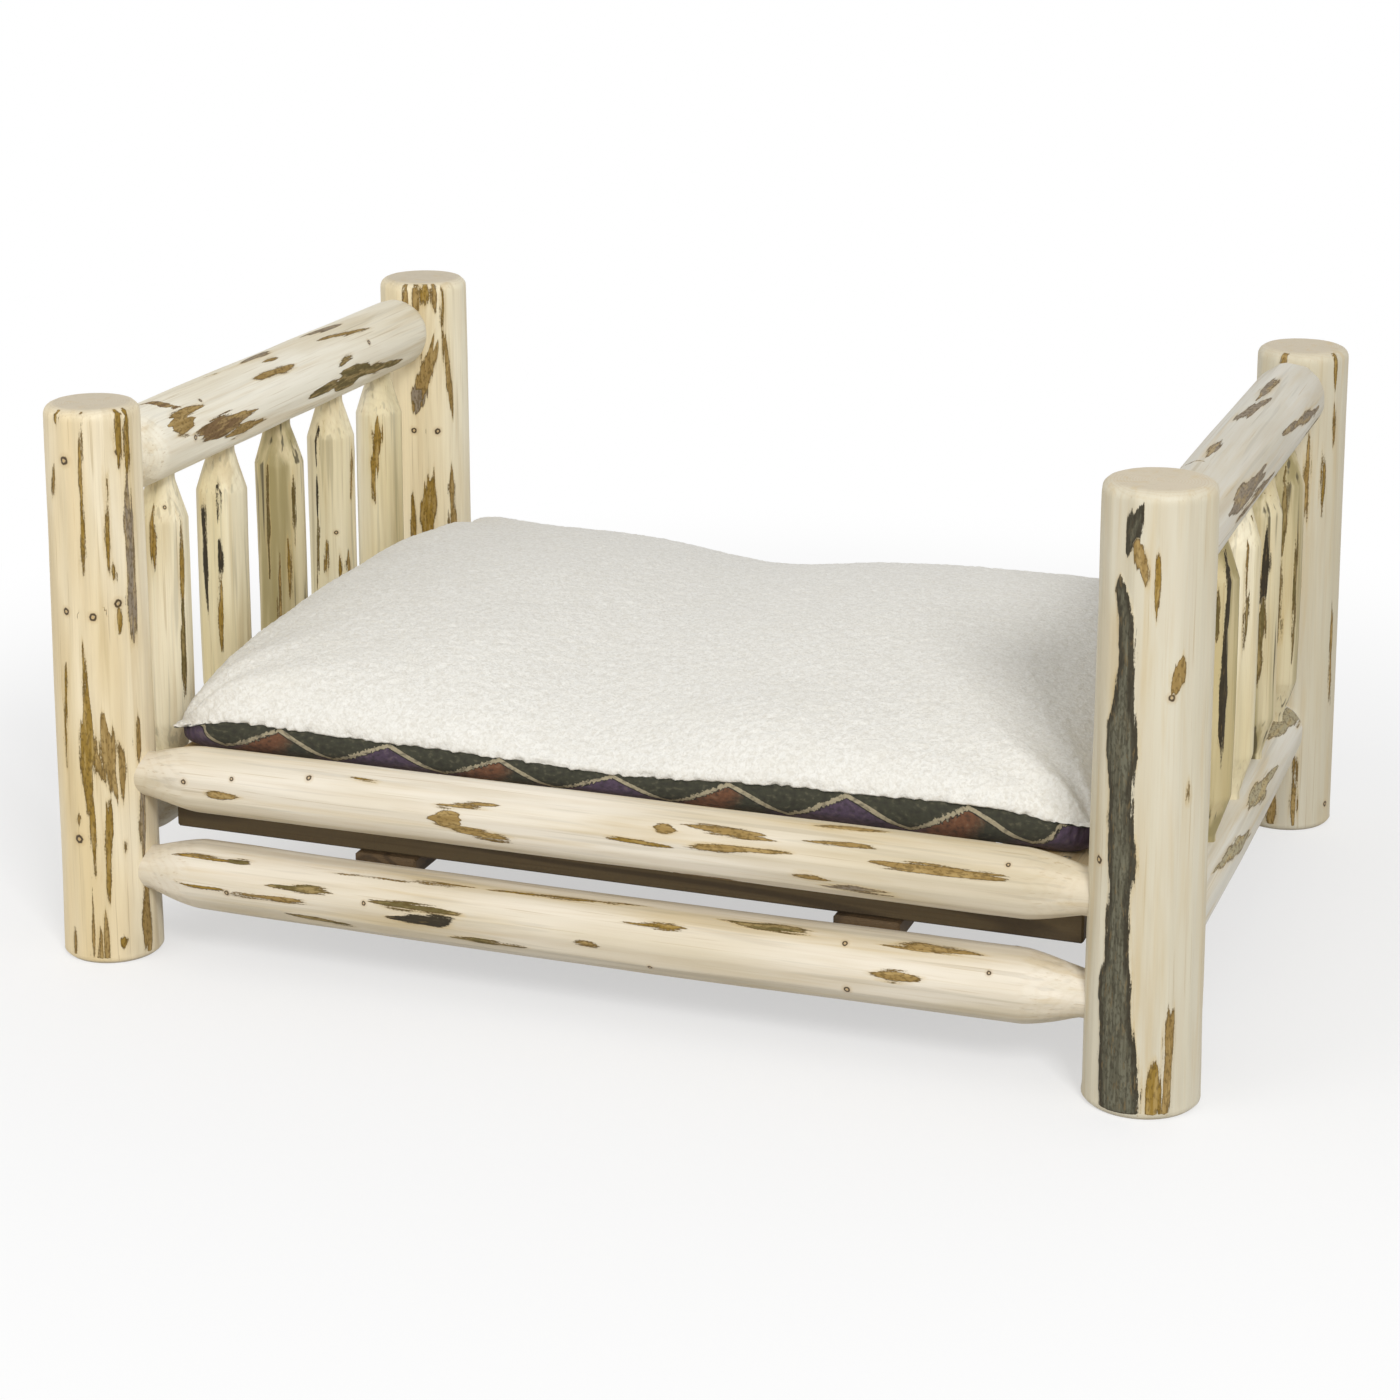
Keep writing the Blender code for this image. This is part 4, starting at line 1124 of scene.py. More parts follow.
# %% Marks on the rails and spindles
RAIL_MARKS = {
    "headboard_top_rail": (
        (150, 402, 188, 404, 14, RUSSET), (174, 416, 210, 404, 8, BROWN),
        (180, 427, 202, 416, 19, BROWN), (206, 437, 254, 413, 21, RUSSET),
        (238, 434, 275, 415, 12, BROWN), (218, 420, 264, 407, 6, BROWN),
        (266, 376, 304, 360, 9, BROWN), (252, 359, 280, 346, 10, SHADED_PLUM),
        (303, 336, 342, 322, 9, SHADED_PLUM), (320, 338, 373, 325, 5, BROWN),
        (316, 394, 354, 375, 11, OLIVE), (340, 382, 374, 365, 23, OLIVE),
        (360, 371, 408, 357, 12, OLIVE), (344, 364, 358, 352, 6, OLIVE),
        (212, 375, 226, 370, 3, BROWN), (270, 359, 284, 354, 4, BROWN)),
    "footboard_top_rail": (
        (1254, 397, 1277, 374, 9, SHADED_PLUM), (1224, 426, 1261, 400, 11, SHADED_PLUM),
        (1201, 456, 1218, 438, 7, SHADED_PLUM), (1281, 433, 1320, 403, 10, SHADED_PLUM),
        (1298, 439, 1329, 407, 6, SHADED_PLUM), (1226, 510, 1264, 466, 21, SHADED_PLUM),
        (1230, 522, 1270, 472, 6, SHADED_PLUM), (1174, 468, 1199, 461, 6, SHADED_PLUM)),
    "footboard_bottom_rail": (
        (1256, 744, 1310, 710, 21, TAUPE), (1268, 712, 1301, 690, 11, GOLD),
        (1244, 814, 1278, 770, 12, TAUPE), (1214, 872, 1252, 832, 13, TAUPE),
        (1234, 784, 1241, 764, 6, BROWN)),
    "front_upper_rail": (
        (209, 797, 238, 799, 6, BROWN), (434, 820, 466, 822, 19, BROWN),
        (444, 806, 506, 807, 6, BROWN), (448, 828, 524, 844, 8, BROWN),
        (345, 774, 380, 782, 3, GOLD), (660, 828, 682, 832, 7, BROWN),
        (692, 826, 778, 838, 9, BROWN), (684, 845, 782, 854, 8, BROWN),
        (806, 825, 882, 831, 6, BROWN), (813, 841, 882, 847, 4, BROWN),
        (870, 861, 1008, 879, 10, BROWN), (834, 888, 900, 895, 8, SHADED_PLUM),
        (795, 875, 828, 881, 5, BROWN), (608, 838, 674, 849, 4, GOLD)),
    "front_lower_rail": (
        (232, 862, 255, 866, 7, OLIVE), (178, 855, 240, 864, 3, GOLD),
        (267, 886, 332, 893, 7, OLIVE), (224, 895, 311, 904, 6, BROWN),
        (178, 885, 228, 894, 3, GOLD), (374, 903, 463, 913, 6, OLIVE),
        (396, 918, 462, 924, 10, BLACK), (293, 917, 367, 931, 7, OLIVE),
        (464, 939, 539, 950, 6, OLIVE), (338, 874, 490, 889, 3, GOLD),
        (480, 888, 642, 905, 3, GOLD), (578, 942, 606, 946, 5, BROWN),
        (727, 919, 814, 932, 7, OLIVE), (891, 942, 978, 954, 8, BROWN),
        (874, 972, 928, 981, 9, BROWN), (629, 921, 692, 928, 4, GOLD)),
    "headboard_spindle_1": (
        (158, 506, 161, 574, 6, GOLD), (188, 510, 188, 600, 5, GOLD),
        (188, 580, 188, 692, 6, OLIVE)),
    "headboard_spindle_2": (
        (208, 478, 211, 604, 6, BLACK), (223, 480, 224, 518, 6, BLACK),
        (225, 534, 225, 574, 5, BLACK), (225, 566, 225, 660, 5, GOLD)),
    "headboard_spindle_3": (
        (281, 556, 280, 628, 5, BROWN), (270, 448, 270, 562, 4, OLIVE),
        (296, 470, 297, 540, 4, OLIVE), (290, 540, 291, 606, 4, GOLD)),
    "headboard_spindle_4": (
        (319, 428, 319, 470, 5, BLACK), (319, 472, 319, 520, 4, BLACK),
        (319, 522, 319, 594, 6, OLIVE), (355, 448, 354, 504, 5, BROWN),
        (328, 543, 326, 578, 6, GOLD), (342, 546, 341, 578, 5, GOLD),
        (350, 552, 350, 578, 7, BROWN)),
    "headboard_spindle_5": ((380, 414, 378, 468, 11, GOLD), (377, 446, 375, 508, 6, GOLD)),
    "footboard_spindle_2": (
        (1228, 548, 1222, 640, 9, BLACK), (1223, 610, 1220, 756, 9, BLACK),
        (1214, 590, 1213, 640, 5, OLIVE)),
    "footboard_spindle_3": (
        (1247, 530, 1247, 600, 4, BROWN), (1247, 590, 1246, 648, 5, OLIVE),
        (1249, 498, 1257, 518, 9, OLIVE)),
    "footboard_spindle_4": (
        (1266, 528, 1264, 606, 8, BLACK), (1264, 600, 1263, 690, 9, OLIVE),
        (1252, 490, 1270, 494, 5, OLIVE)),
    "footboard_spindle_5": (
        (1284, 470, 1281, 560, 7, OLIVE), (1281, 560, 1280, 650, 6, OLIVE),
        (1296, 520, 1294, 660, 5, OLIVE)),
}
RAIL_KNOTS = {
    "headboard_top_rail": ((205, 435), (374, 339), (210, 398)),
    "front_upper_rail": ((314, 779), (236, 780), (913, 865), (1010, 864), (187, 783)),
    "front_lower_rail": (
        (229, 895), (367, 904), (654, 968), (851, 990), (849, 943), (1021, 946), (992, 973)),
    "headboard_spindle_1": ((173, 507),),
    "headboard_spindle_2": ((237, 445),),
    "headboard_spindle_4": ((338, 532),),
}
STAINED = ("headboard_spindle_3", "footboard_spindle_2", "footboard_spindle_4", "footboard_spindle_5")
print("scraps of bark seen on rails and spindles:", sum(len(rows) for rows in RAIL_MARKS.values()))

# %% [markdown]
# The long side rails swell out of the tenon in a blunt bullet that is cut into flats. The headboard
# and footboard rails have a short, smooth, turned shoulder. The spindles have a straight cone, cut
# with a knife. All of them take the same rings, with a profile of their own.

# %% Rails and spindles
TENON_BEVEL = 0.002
POST_TENON, SPINDLE_TENON = 0.039, 0.029
FLATS_FADE = 0.4
TIP_SHARE = 0.5
TOP_RAIL_HEIGHT, BOTTOM_RAIL_HEIGHT = 0.495, 0.126
UPPER_RAIL_HEIGHT, LOWER_RAIL_HEIGHT = 0.1875, 0.0905
SPINDLE_COUNT = 5


class Turning(NamedTuple):
    """A log with tenons: body and tenon radius, tenon and shoulder length, and the shoulder's cut.

    Roundness is 1 for a bullet and 0 for a straight cone. Plain is its share without flats.
    """
    radius: float
    tenon: float
    tenon_length: float
    shoulder: float
    roundness: float
    plain: float


HEAD_TOP = Turning(0.0405, 0.023, POST_TENON, 0.030, 1.0, 0.5)
FOOT_TOP = Turning(0.0375, 0.023, POST_TENON, 0.030, 1.0, 0.5)
END_BOTTOM = Turning(0.030, 0.019, POST_TENON, 0.036, 1.0, 0.5)
SIDE_UPPER = Turning(0.0325, 0.022, POST_TENON, 0.052, 0.7, 0.0)
SIDE_LOWER = Turning(0.0345, 0.022, POST_TENON, 0.052, 0.5, 0.0)
SPINDLE = Turning(0.0265, 0.014, SPINDLE_TENON, 0.040, 0.0, 0.0)
TOP_WORK = Work(11, 0.022, 0.0025, 0.0024, 12)
BOTTOM_WORK = Work(9, 0.022, 0.0025, 0.0024, 12)
SIDE_WORK = Work(10, 0.028, 0.0025, 0.0024, 16)
SPINDLE_WORK = Work(9, 0.042, 0.0015, 0.0022, 9)


def tenoned_rings(low, high, turning):
    """Rings from one tenon's end to the other's.

    A bullet shoulder grows as sin(s * pi / 2) from tenon to body for the share s of its length, a
    straight one as s, and others as a mix of both.
    """
    place = np.arange(low + TENON_BEVEL, high - TENON_BEVEL, LENGTH_STEP)
    from_end = np.minimum(place - low, high - place)
    share = np.clip((from_end - turning.tenon_length) / turning.shoulder, 0, 1)
    swell = turning.roundness * np.sin(share * math.pi / 2) + (1 - turning.roundness) * share
    radius = turning.tenon + (turning.radius - turning.tenon) * swell
    peeled = smooth_step(share, turning.plain, turning.plain + FLATS_FADE)
    tip = turning.tenon - TENON_BEVEL
    rings = [Ring(low, tip * TIP_SHARE, 0.0, 1.0), Ring(low, tip, 0.0, 1.0)]
    rings += [Ring(*ring, 0.0) for ring in zip(place, radius, peeled)]
    return rings + [Ring(high, tip, 0.0, 1.0), Ring(high, tip * TIP_SHARE, 0.0, 1.0)]


def tenoned_log(node, axis, centre, turning, work, seed, material):
    """A rail or spindle that fills its node's length along its axis."""
    log = Log(node, axis, centre, turning.radius, work, seed)
    index = "XYZ".index(axis)
    low, high = (corner[index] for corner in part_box(node))
    margin = turning.tenon_length + turning.shoulder
    scraps = [scrap_of(log, Streak(*row)) for row in RAIL_MARKS.get(node, ())]
    scraps += hidden_scraps(log, low + margin, high - margin)
    knots = knot_spots(log, RAIL_KNOTS.get(node, ()))
    log_piece(log, tenoned_rings(low, high, turning), scraps, knots, material)


left_x, front_y = posts["front_left_post"].centre[:2]
right_x, back_y = posts["back_right_post"].centre[:2]
for end, x, seed, top, pine in (("headboard", left_x, 5, HEAD_TOP, LIT_HEAD_RAIL_PINE),
                                ("footboard", right_x, 15, FOOT_TOP, SHADED_FOOT_RAIL_PINE)):
    tenoned_log(end + "_top_rail", "Y", (x, 0.0, TOP_RAIL_HEIGHT), top, TOP_WORK, seed, pine)
    tenoned_log(end + "_bottom_rail", "Y", (x, 0.0, BOTTOM_RAIL_HEIGHT), END_BOTTOM, BOTTOM_WORK,
                seed + 1, pine)
    for i in range(SPINDLE_COUNT):
        node = f"{end}_spindle_{i + 1}"
        y = front_y + (back_y - front_y) * (i + 1) / (SPINDLE_COUNT + 1)
        tenoned_log(node, "Z", (x, y, 0.0), SPINDLE, SPINDLE_WORK, seed + 2 + i,
                    STAINED_PINE if node in STAINED else SPINDLE_PINE)
for side, y, seed in (("front", front_y, 25), ("back", back_y, 28)):
    tenoned_log(side + "_upper_rail", "X", (0.0, y, UPPER_RAIL_HEIGHT), SIDE_UPPER, SIDE_WORK, seed,
                RAIL_PINE)
    tenoned_log(side + "_lower_rail", "X", (0.0, y, LOWER_RAIL_HEIGHT), SIDE_LOWER, SIDE_WORK, seed + 1,
                RAIL_PINE)

# %% [markdown]
# Under the cushion lie plain sawn boards: two ledgers along the side rails, two cross battens and the
# deck slats. Their solids are right as they are, so only the finish changes. The grain runs along each
# board, so the pattern is squeezed along that board's own long axis. The ledgers and battens get a dark
# brown that is painted shade, for the shade they lie in under the rails and the cushion; the slats keep
# the pale sawn pine.

# %% Finish of the sawn boards
BOARD_FIBRE, BOARD_FIBRE_TINT = Grain(0.02, 520, 3), Tint(0.5, 0.8, 0.3, paint(74, 54, 33))
BOARD_LINES, BOARD_LINE, BOARD_LINE_SHARE = Grain(0.03, 90, 2, 1.2), (0.5, 0.8), 0.5
BOARD_WARP, BAND_COUNT, BAND_EDGE = Grain(0.12, 9, 2), 60.0, (-0.2, 0.9)
SAW_MARKS, SAW_HEIGHT = 1900.0, 0.12
BOARD_ROUGHNESS, BOARD_ROUGHER = 0.6, 0.2
BOARD_BUMP, BOARD_DEPTH = 0.5, 0.0006
BOARD_TURNS = {"X": (0.0, -math.pi / 2, 0.0), "Y": (math.pi / 2, 0.0, 0.0)}


def sawn_pine_group():
    """Colour, roughness and height of a sawn board from a vector whose grain runs along Z."""
    inputs = (("Vector", VECTOR, (0, 0, 0)), ("Pale", COLOUR, paint(190, 160, 118)),
              ("Dark", COLOUR, paint(140, 108, 70)))
    outputs = (("Color", COLOUR), ("Roughness", VALUE), ("Height", VALUE))
    graph, given, result = new_group("sawn_pine", inputs, outputs)
    space, dark = given["Vector"], given["Dark"]
    fibre, lines = graph.grain(space, BOARD_FIBRE), graph.grain(space, BOARD_LINES)
    bands = graph.math("SINE", graph.times(graph.grain(space, BOARD_WARP), BAND_COUNT))
    colour = graph.mix(graph.step(bands, *BAND_EDGE), given["Pale"], dark)
    colour = graph.tint(colour, lines, Tint(*BOARD_LINE, BOARD_LINE_SHARE, dark))
    colour = graph.tint(colour, fibre, BOARD_FIBRE_TINT)
    saw_marks = graph.math("SINE", graph.times(graph.axis(space, "Z"), SAW_MARKS))
    graph.dress(result, Color=colour, Roughness=graph.scaled(fibre, BOARD_ROUGHER, BOARD_ROUGHNESS),
                Height=graph.scaled(saw_marks, SAW_HEIGHT, graph.plus(fibre, lines)))
    return graph.tree


def board_material(name, axis, pale, dark):
    """Sawn pine with its grain along one axis of the bed."""
    material, graph, shader = new_material(name)
    turned = graph.add("Mapping", None, Vector=graph.coords(), Rotation=BOARD_TURNS[axis])
    surface = graph.add("Group", {"node_tree": SAWN_PINE}, Vector=turned.outputs["Vector"],
                        Pale=paint(*pale), Dark=paint(*dark)).outputs
    graph.dress(shader, Base_Color=surface["Color"], Roughness=surface["Roughness"],
                Normal=graph.bump(surface["Height"], BOARD_BUMP, BOARD_DEPTH))
    return material


SAWN_PINE = sawn_pine_group()
# The ledgers and battens are painted dark brown: painted shade for where they sit under the rails and
# cushion.
BOARD_PINE = {"ledger": board_material("shaded_ledger_pine", "X", (104, 88, 60), (78, 64, 42)),
              "cross_batten": board_material("shaded_batten_pine", "Y", (102, 82, 56), (76, 60, 40)),
              "deck_slat": board_material("slat_pine", "Y", (222, 200, 158), (196, 164, 112))}
for node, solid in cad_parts.items():
    for kind, pine in BOARD_PINE.items():
        if node.startswith(kind) or node.endswith(kind):
            solid.data.materials.clear()
            solid.data.materials.append(pine)
print("board finishes share the group", SAWN_PINE.name)

# %% [markdown]
# The boards are held by zinc-plated screws. Each one is a surface turned about its axis: a pan head
# with a cross recess, then a shank with a thread. The recess lowers the head where a point is near
# either arm of the cross.

# %% Screws
SCREW_COLUMNS = 24
SCREW_TURN = np.arange(SCREW_COLUMNS) * 2 * math.pi / SCREW_COLUMNS
HEAD_RADIUS, HEAD_HEIGHT, HEAD_DOME = 0.0055, 0.003, 0.7
HEAD_SHARES = np.linspace(0.06, 1, 11)
SHANK_RADIUS, THREAD_PITCH, THREAD_DEPTH = 0.0025, 0.0022, 0.0005
THREAD_STEPS, POINT_SHARE = 4, 0.3
RECESS_WIDTH, RECESS_REACH, RECESS_DEPTH, RECESS_EASE = 0.0011, 0.0032, 0.0017, 0.0003
ZINC_NOISE, ZINC_ROUGHNESS, ZINC_ROUGHER = 420, 0.22, 0.25
ZINC_TONES = ((0.3, paint(176, 174, 166)), (0.7, paint(214, 212, 206)))


def zinc_material():
    """Bright zinc plating, slightly uneven."""
    material, graph, shader = new_material("zinc_plating")
    blotch = graph.noise(graph.coords(), ZINC_NOISE, 3)
    graph.dress(shader, Metallic=1.0, Base_Color=graph.ramp(blotch, ZINC_TONES),
                Roughness=graph.scaled(blotch, ZINC_ROUGHER, ZINC_ROUGHNESS))
    return material


def recess_depth(x, y):
    """Depth of the cross recess: full where a point is near either arm, easing out at its edge."""
    arm = np.minimum(np.maximum(np.abs(x) - RECESS_WIDTH / 2, np.abs(y) - RECESS_REACH),
                     np.maximum(np.abs(y) - RECESS_WIDTH / 2, np.abs(x) - RECESS_REACH))
    return RECESS_DEPTH * (1 - smooth_step(arm, -RECESS_EASE, RECESS_EASE))


def ring_of(value):
    """One ring with the same value all round."""
    return np.full((1, SCREW_COLUMNS), value)


def screw_rows(length):
    """Rings of a screw along its own +Z: over the head from its middle, then down the thread.

    The head is HEAD_RADIUS sin(r), -HEAD_HEIGHT cos(r) ** 0.7, and the thread a triangle wave of
    z / pitch minus the turn.
    """
    rise = HEAD_SHARES[:, None] * np.ones(SCREW_COLUMNS)
    head_radius = HEAD_RADIUS * np.sin(rise * math.pi / 2)
    head_z = -HEAD_HEIGHT * np.cos(rise * math.pi / 2) ** HEAD_DOME
    head_z = head_z + recess_depth(head_radius * np.cos(SCREW_TURN), head_radius * np.sin(SCREW_TURN))
    shank = np.arange(0.0, length - SHANK_RADIUS, THREAD_PITCH / THREAD_STEPS)
    shank_z = shank[:, None] * np.ones(SCREW_COLUMNS)
    phase = shank_z / THREAD_PITCH - SCREW_TURN / (2 * math.pi)
    thread = THREAD_DEPTH * (np.abs(2 * (phase - np.floor(phase)) - 1) - 1)
    radius = np.concatenate([head_radius, SHANK_RADIUS + thread, ring_of(SHANK_RADIUS * POINT_SHARE)])
    z = np.concatenate([head_z, shank_z, ring_of(length)])
    return np.stack([radius * np.cos(SCREW_TURN), radius * np.sin(SCREW_TURN), z], axis=-1)


def make_screw(node, direction):
    """A screw that stands for its node and points along a direction, its head at the other end."""
    low, high = (np.array(corner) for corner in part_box(node))
    axis = int(np.argmax(np.abs(direction)))
    forward = direction[axis] > 0
    tip = high[axis] if forward else low[axis]
    seat = (low[axis] + HEAD_HEIGHT) if forward else (high[axis] - HEAD_HEIGHT)
    length = abs(tip - seat)
    rows = screw_rows(length)
    points = with_poles(rows, (0, 0, rows[0, 0, 2]), (0, 0, length))
    centre = (low + high) / 2
    centre[axis] = seat
    turn = np.array(Vector((0, 0, 1)).rotation_difference(Vector(direction)).to_matrix())
    faces = tube_faces(*rows.shape[:2])
    piece = make_piece(node + "_zinc", points @ turn.T + centre, faces, ZINC)
    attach(piece, "bed_frame")
    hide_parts(node)


ZINC = zinc_material()
SCREW_DIRECTIONS = {"batten": (0, 0, 1), "front": (0, -1, 0), "back": (0, 1, 0)}
screw_nodes = [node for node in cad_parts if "screw" in node]
for node in screw_nodes:
    make_screw(node, SCREW_DIRECTIONS[node.split("_")[0]])
print("screws:", len(screw_nodes))

# %% [markdown]
# Each deck slat is held at both ends by two small countersunk screws that go down into the ledger.
# Only their flat heads show, flush with the wood, so all the heads together are one light piece: one
# head's rings, moved to every place.

# %% Deck screw heads
DECK_HEAD_RADIUS, DECK_HEAD_DEPTH, DECK_HEAD_PROUD = 0.0042, 0.0032, 0.0001
DECK_HEAD_SHARES = np.linspace(0.06, 1, 9)
DECK_SCREW_SHARES = (0.27, 0.73)


def countersunk_rows():
    """Rings of a countersunk head, from the middle of its flat top outward and then down its cone."""
    radius = DECK_HEAD_RADIUS * DECK_HEAD_SHARES[:, None] * np.ones(SCREW_COLUMNS)
    dent = recess_depth(radius * np.cos(SCREW_TURN), radius * np.sin(SCREW_TURN))
    radius = np.concatenate([radius, ring_of(DECK_HEAD_RADIUS * POINT_SHARE)])
    height = np.concatenate([DECK_HEAD_PROUD - dent, ring_of(-DECK_HEAD_DEPTH)])
    return np.stack([radius * np.cos(SCREW_TURN), -radius * np.sin(SCREW_TURN), height], axis=-1)


def deck_screw_places():
    """Two places at each end of every slat, above the middle of the ledger that carries it."""
    ledgers = [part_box(side + "_ledger") for side in ("front", "back")]
    slats = [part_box(node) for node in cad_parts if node.startswith("deck_slat")]
    return np.array([(low.x + share * (high.x - low.x), sum(corner.y for corner in ledger) / 2, high.z)
                     for low, high in slats for ledger in ledgers for share in DECK_SCREW_SHARES])


def make_deck_screws():
    """All deck screw heads as one piece."""
    rows = countersunk_rows()
    head = with_poles(rows, (0, 0, rows[0, 0, 2]), (0, 0, -DECK_HEAD_DEPTH))
    places = deck_screw_places()
    points = (places[:, None] + head).reshape(-1, 3)
    first = np.arange(len(places))[:, None, None] * len(head)
    faces = [(first + group).reshape(-1, group.shape[1]) for group in tube_faces(*rows.shape[:2])]
    piece = make_piece("deck_screw_heads", points, faces, ZINC)
    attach(piece, "bed_frame")
    print("deck screw heads:", len(places))


make_deck_screws()

# %% [markdown]
# The cushion is two sheets sewn together round the edge: curly fleece above and printed cotton below.
# It is made as two grids that share their border, blown up a little by a cloth simulation so that the
# top swells between the seams. Grids keep their order in the simulation, so the seam, the weave and
# the print still know where they are on the flat cloth.

# %% Plan and seam of the cushion
SEAM_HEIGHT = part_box("cushion_fleece_top")[0].z
DECK_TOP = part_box("deck_slat_1")[1].z
CUSHION_HALF = np.array([0.4775, 0.3555])
SHEET_ROWS, SHEET_COLUMNS = 138, 104
EVEN_SHARE = 0.22
EDGE_DRAW_IN = np.array([0.012, 0.004])
EAR_ROUND, EAR_POWER = 0.012, 8
PLAN_POWER = 26
SEAM_WAVE = (0.55, 1.0)
FRONT_SEAM = ((-0.478, -0.010), (-0.400, 0.004), (-0.200, 0.001), (0.000, -0.003), (0.200, 0.006),
              (0.360, 0.009), (0.460, 0.000))


def sheet_parameters():
    """Two parameters from -1 to 1 on a grid, closer near the border: e t + (1 - e) sin(t pi / 2)."""
    sides = (np.linspace(-1, 1, count) for count in (SHEET_ROWS, SHEET_COLUMNS))
    closer = (EVEN_SHARE * t + (1 - EVEN_SHARE) * np.sin(t * math.pi / 2) for t in sides)
    return np.meshgrid(*closer, indexing="ij")


def cushion_plan(a, b):
    """Plan of the cushion: a rectangle whose sides are drawn in between slightly rounded corners."""
    half_x = CUSHION_HALF[0] - EDGE_DRAW_IN[0] * (1 - b * b)
    half_y = CUSHION_HALF[1] - EDGE_DRAW_IN[1] * (1 - a * a)
    return half_x * a * (1 - EAR_ROUND * b ** EAR_POWER), half_y * b * (1 - EAR_ROUND * a ** EAR_POWER)


def from_middle(a, b):
    """Share of the way from the middle to the border: (a ** n + b ** n) ** (1 / n), at most 1."""
    return np.minimum((np.abs(a) ** PLAN_POWER + np.abs(b) ** PLAN_POWER) ** (1 / PLAN_POWER), 1.0)


def seam_rise(x, b):
    """How far the seam stands above its plain height: smooth steps between places along the front."""
    place, rise = np.array(FRONT_SEAM).T
    cell = np.clip(np.searchsorted(place, x) - 1, 0, len(place) - 2)
    step = smooth_step(x, place[cell], place[cell + 1])
    return (rise[cell] + (rise[cell + 1] - rise[cell]) * step) * smooth_step(-b, *SEAM_WAVE)


print("seam at", round(SEAM_HEIGHT, 4), "m, deck at", round(DECK_TOP, 4), "m")

# %% [markdown]
# The top is crowned, a little higher at the headboard, with a dip where the filling has shifted. Soft
# creases run in from its corners. The underside is flat on the slats and turns up to the seam. Both
# are one formula of the two grid parameters, so they meet at the border without any stitching.

# %% Top and underside of the cushion
CROWN, CROWN_FALL, CROWN_SLOPE, CROWN_POWER = 0.086, 0.055, 0.009, 11
LIP, LIP_POWER = 0.06, 30
DIP, DIP_PLACE, DIP_SPREAD = 0.015, -0.038, 0.105
CREASE_HEIGHT, CREASE_REACH, CREASE_COUNT = 0.0035, 0.055, 13
FILLING_SPAN, FILLING_RISE, FILLING_SEED = 0.10, 0.0030, 41
DECK_GAP = 0.0004
BASE_DEPTH = SEAM_HEIGHT - DECK_TOP - DECK_GAP
TURN_UP_SHARE, TURN_UP_POWER = 0.05, 4
SIDE_BULGE, LONG_SIDE = 0.004, (0.9, 0.97)


def folds(x, y):
    """Height of soft folds: an uneven filling, and creases that fan out from the four corners.

    At the distance r from a corner and the angle t round it a crease is
    h * sin(n t + p) * (r / R) * exp(1 - r / R), with a phase p of the corner's own.
    """
    to_x, to_y = CUSHION_HALF[0] - np.abs(x), CUSHION_HALF[1] - np.abs(y)
    reach = np.hypot(to_x, to_y) / CREASE_REACH
    wave = np.sin(CREASE_COUNT * np.arctan2(to_y, to_x) + 2 * np.sign(x) + np.sign(y))
    lumps = soft_noise(np.stack([x, y, 0 * x], axis=-1) / FILLING_SPAN, FILLING_SEED)
    return CREASE_HEIGHT * wave * reach * np.exp(1 - reach) + FILLING_RISE * lumps


def top_sheet(a, b):
    """Crowned top: seam height plus crown * sqrt(1 - s ** 11), with a dip, a fall and folds.

    A low lip keeps it above the seam just inside the border.
    """
    x, y = cushion_plan(a, b)
    lip = LIP * (1 - np.maximum(np.abs(a), np.abs(b)) ** LIP_POWER)
    swell = np.maximum(np.sqrt(1 - from_middle(a, b) ** CROWN_POWER), lip)
    dip = DIP * np.exp(-((x - DIP_PLACE) / DIP_SPREAD) ** 2)
    crown = CROWN - dip - CROWN_FALL * (y / CUSHION_HALF[1]) ** 2 - CROWN_SLOPE * x
    height = SEAM_HEIGHT + seam_rise(x, b) + (crown + folds(x, y)) * swell
    return np.stack([x, y, height], axis=-1)


def base_sheet(a, b):
    """Flat underside that turns up to the seam: depth * sqrt(1 - t ** 4) over its outer share.

    Half way up, the long sides lean out by the bulge, as a sine of the height from deck to seam.
    """
    x, y = cushion_plan(a, b)
    turn_up = np.clip((from_middle(a, b) - 1) / TURN_UP_SHARE + 1, 0, 1)
    below_seam = np.sqrt(1 - turn_up ** TURN_UP_POWER)
    rise = seam_rise(x, b)
    long_side = np.sign(b) * smooth_step(np.abs(b), *LONG_SIDE)
    lean = SIDE_BULGE * np.sin(math.pi * below_seam) * long_side
    return np.stack([x, y + lean, SEAM_HEIGHT + rise - (BASE_DEPTH + rise) * below_seam], axis=-1)


print("underside hangs", round(BASE_DEPTH, 4), "m below the seam")

# %% [markdown]
# The simulation: gravity off, a little pressure inside, twenty steps. Each point may move only a short
# way from where it began, and hardly sideways, so the cushion keeps the size that the frame leaves.

# %% Fill the cushion
FILL_STEPS = 20
MOVE_CAP, SIDEWAYS_SHARE = 0.006, 0.25
TINY = 1e-12
CLOTH = {"quality": 6, "mass": 0.25, "tension_stiffness": 12, "compression_stiffness": 12,
         "shear_stiffness": 6, "bending_stiffness": 1.5, "use_pressure": True,
         "uniform_pressure_force": 4.0}


def grid_quads(index):
    """Faces of a grid of point numbers."""
    corners = [index[:-1, :-1], index[1:, :-1], index[1:, 1:], index[:-1, 1:]]
    return np.stack(corners, axis=-1).reshape(-1, 4)


def pressed_out(points, faces):
    """Where a cloth simulation under pressure takes the points."""
    body = make_piece("cushion_trial", points, faces, None)
    cloth = body.modifiers.new("fill", "CLOTH")
    for name, value in CLOTH.items():
        setattr(cloth.settings, name, value)
    cloth.settings.effector_weights.gravity = 0.0
    cloth.point_cache.frame_end = FILL_STEPS
    scene = bpy.context.scene
    for step in range(1, FILL_STEPS + 1):
        scene.frame_set(step)
    moved = np.empty(len(points) * 3, np.float32)
    result = body.evaluated_get(bpy.context.evaluated_depsgraph_get())
    result.data.vertices.foreach_get("co", moved)
    scene.frame_set(1)
    bpy.data.objects.remove(body)
    return moved.reshape(-1, 3)


